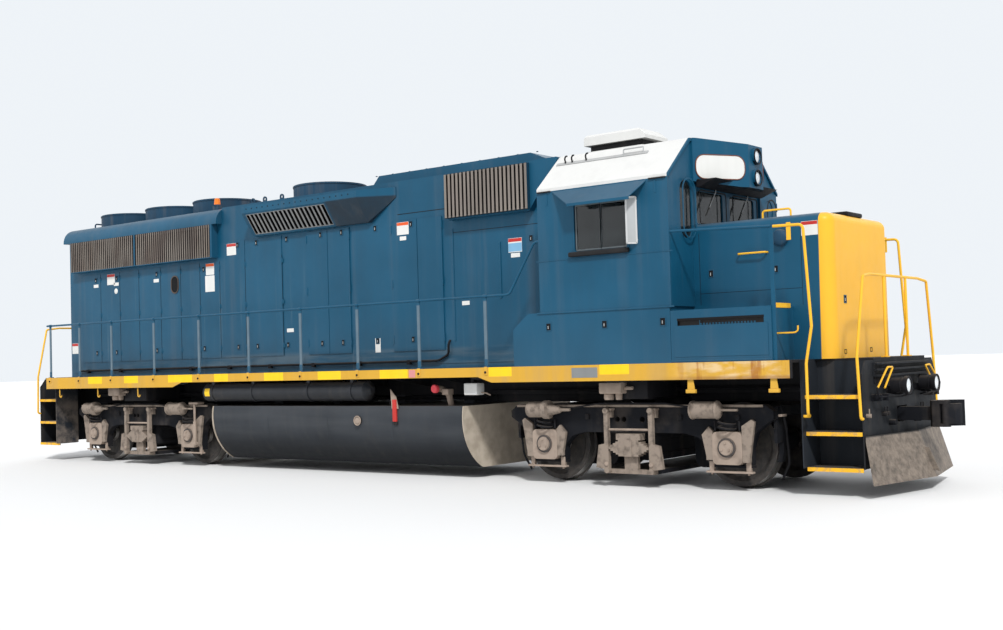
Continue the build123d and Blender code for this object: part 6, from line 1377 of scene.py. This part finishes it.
piece("rear_number_boards_blank", across(rear_boards))
door_rims = [panel((REAR_FACE, 0, 2.620), BACKWARD, 1.500, 1.700, 0.060, 0.006, rim=0.020, edge=0.001),
             block((REAR - 0.006, -0.004, 1.780), (REAR + 0.001, 0.004, 3.460), 0.001)]
piece("rear_door_rims", door_rims, blue)

# Cab seats: crowned cushions with piped edges on their pedestals
SEAT_Y, SEAT_X = 1.050, CAB_REAR + 0.440
SEAT_PADS = (
    ("cushion", Vector((SEAT_X + 0.220, 0, 2.788)), (0.470, 0.450, 0.086), 2),
    ("back", Vector((SEAT_X, 0, 3.118)), (0.076, 0.430, 0.590), 0),
)
SWELLS = ((0.030, 0.45), (0.045, 0.35), (0.050, 0.20))
PEDESTAL = [(0.0, 0.0), (0.0, 0.150), (0.014, 0.145), (0.026, 0.058), (0.300, 0.044), (0.390, 0.044),
            (0.400, 0.060), (0.402, 0.0)]


def cushion(centre, size, crown, thin):
    """A pad with rounded rims whose two broad faces swell in steps; thin is its thickness axis."""
    bpy.ops.mesh.primitive_cube_add(size=1, location=centre)
    obj = bpy.context.object
    obj.scale = size
    settle(obj)
    open_mesh(obj)
    bpy.ops.mesh.bevel(offset=size[thin] * 0.36, segments=4, affect="EDGES")
    close_mesh()
    for way in (-1, 1):
        facing = Vector([way if axis == thin else 0 for axis in range(3)])
        open_faces(obj, facing)
        for rim, rise in SWELLS:
            bpy.ops.mesh.inset(thickness=rim, depth=0)
            bpy.ops.transform.translate(value=facing * crown * rise)
        close_mesh()
    soft = obj.modifiers.new("soft", "SUBSURF")
    soft.levels = soft.render_levels = 2
    hold(obj)
    bpy.ops.object.modifier_apply(modifier=soft.name)
    return obj


frames = []
for side, side_name in ((-1, "right"), (1, "left")):
    y = side * SEAT_Y
    for name, centre, size, thin in SEAT_PADS:
        pad = cushion(centre + Vector((0, y, 0)), size, 0.018, thin)
        pad = piece(f"seat_{name}_{side_name}", [pad], cloth, stands_for=("cab_seats",), smooth=60)
    frames.append(lathe(PEDESTAL, (CAB_REAR + 0.640, y, 2.338), "Z", 24))
    frames.append(block((CAB_REAR + 0.500, y - 0.150, 2.726), (CAB_REAR + 0.800, y + 0.150, 2.746), 0.006))
    frames.append(pipe([(CAB_REAR + 0.560, y, 2.738), (CAB_REAR + 0.415, y, 2.745),
                        (CAB_REAR + 0.412, y, 3.300)], 0.016, 0.05))
piece("seat_frames", frames, plain_black, stands_for=("cab_seats",))

# Floor, light and camera; each lamp has its way in, its strength and its width in degrees
FLOOR_WHITE, SKY_LIGHT, BACKDROP = (0.80, 0.80, 0.79), (0.93, 0.95, 1.0), (0.86, 0.90, 0.94)
LAMPS = (
    ("key", (0.50, -0.52, 0.70), 2.7, 6),
    ("fill", (-0.6, -0.5, 0.45), 0.5, 60),
    ("back", (-0.2, 0.9, 0.5), 0.5, 60),
)
bpy.ops.mesh.primitive_plane_add(size=400, location=(0, 0, 0))
floor = bpy.context.object
floor.name = "studio_floor"
floor_finish = Finish("studio_floor", 0.9)
floor_finish.feed("Base Color", (*FLOOR_WHITE, 1))
floor.data.materials.append(floor_finish.material)

world = bpy.data.worlds.new("studio")
bpy.context.scene.world = world
world.use_nodes = True
world.node_tree.nodes.clear()
studio = Nodes(world.node_tree)
rays = studio.node("ShaderNodeLightPath")
camera_ray, mirrored, passing = (
    Field(studio, rays.outputs[f"Is {kind} Ray"]) for kind in ("Camera", "Glossy", "Transmission"))
sky = studio.node("ShaderNodeBackground", {"Color": (*SKY_LIGHT, 1), "Strength": 0.62})
backdrop = studio.node("ShaderNodeBackground", {"Color": (*BACKDROP, 1), "Strength": 1.0})
pick = studio.node("ShaderNodeMixShader", {
    "Fac": camera_ray | mirrored | passing, 1: sky.outputs[0], 2: backdrop.outputs[0]})
studio.node("ShaderNodeOutputWorld", {"Surface": pick.outputs[0]})

for lamp_name, source, strength, spread in LAMPS:
    source = Vector(source)
    bpy.ops.object.light_add(type="SUN", location=source * 30)
    lamp = bpy.context.object
    lamp.name = lamp_name
    lamp.data.energy = strength
    lamp.data.angle = math.radians(spread)
    lamp.rotation_euler = source.to_track_quat("Z", "Y").to_euler()

CAMERA_AT = Vector((13.747, -14.805, 1.681 + RAIL))
YAW, PITCH, ROLL = (math.radians(a) for a in (37.898, 1.989, -1.703))
FOCAL_PX, PHOTO_WIDTH, SENSOR = 1241.6, 1003, 36.0
ahead = Vector((-math.sin(YAW) * math.cos(PITCH), math.cos(YAW) * math.cos(PITCH), math.sin(PITCH)))
level = Vector((math.cos(YAW), math.sin(YAW), 0))
above = level.cross(ahead)
right_axis = math.cos(ROLL) * level + math.sin(ROLL) * above
up_axis = -math.sin(ROLL) * level + math.cos(ROLL) * above
camera = bpy.data.objects.new("camera", bpy.data.cameras.new("camera"))
bpy.context.scene.collection.objects.link(camera)
camera.data.sensor_width = SENSOR
camera.data.lens = SENSOR * FOCAL_PX / PHOTO_WIDTH
camera.data.clip_start, camera.data.clip_end = 0.1, 500.0
axes = Matrix((right_axis, up_axis, -ahead)).transposed()
camera.matrix_world = Matrix.Translation(CAMERA_AT) @ axes.to_4x4()
bpy.context.scene.camera = camera
bpy.context.scene.view_settings.view_transform = "Standard"
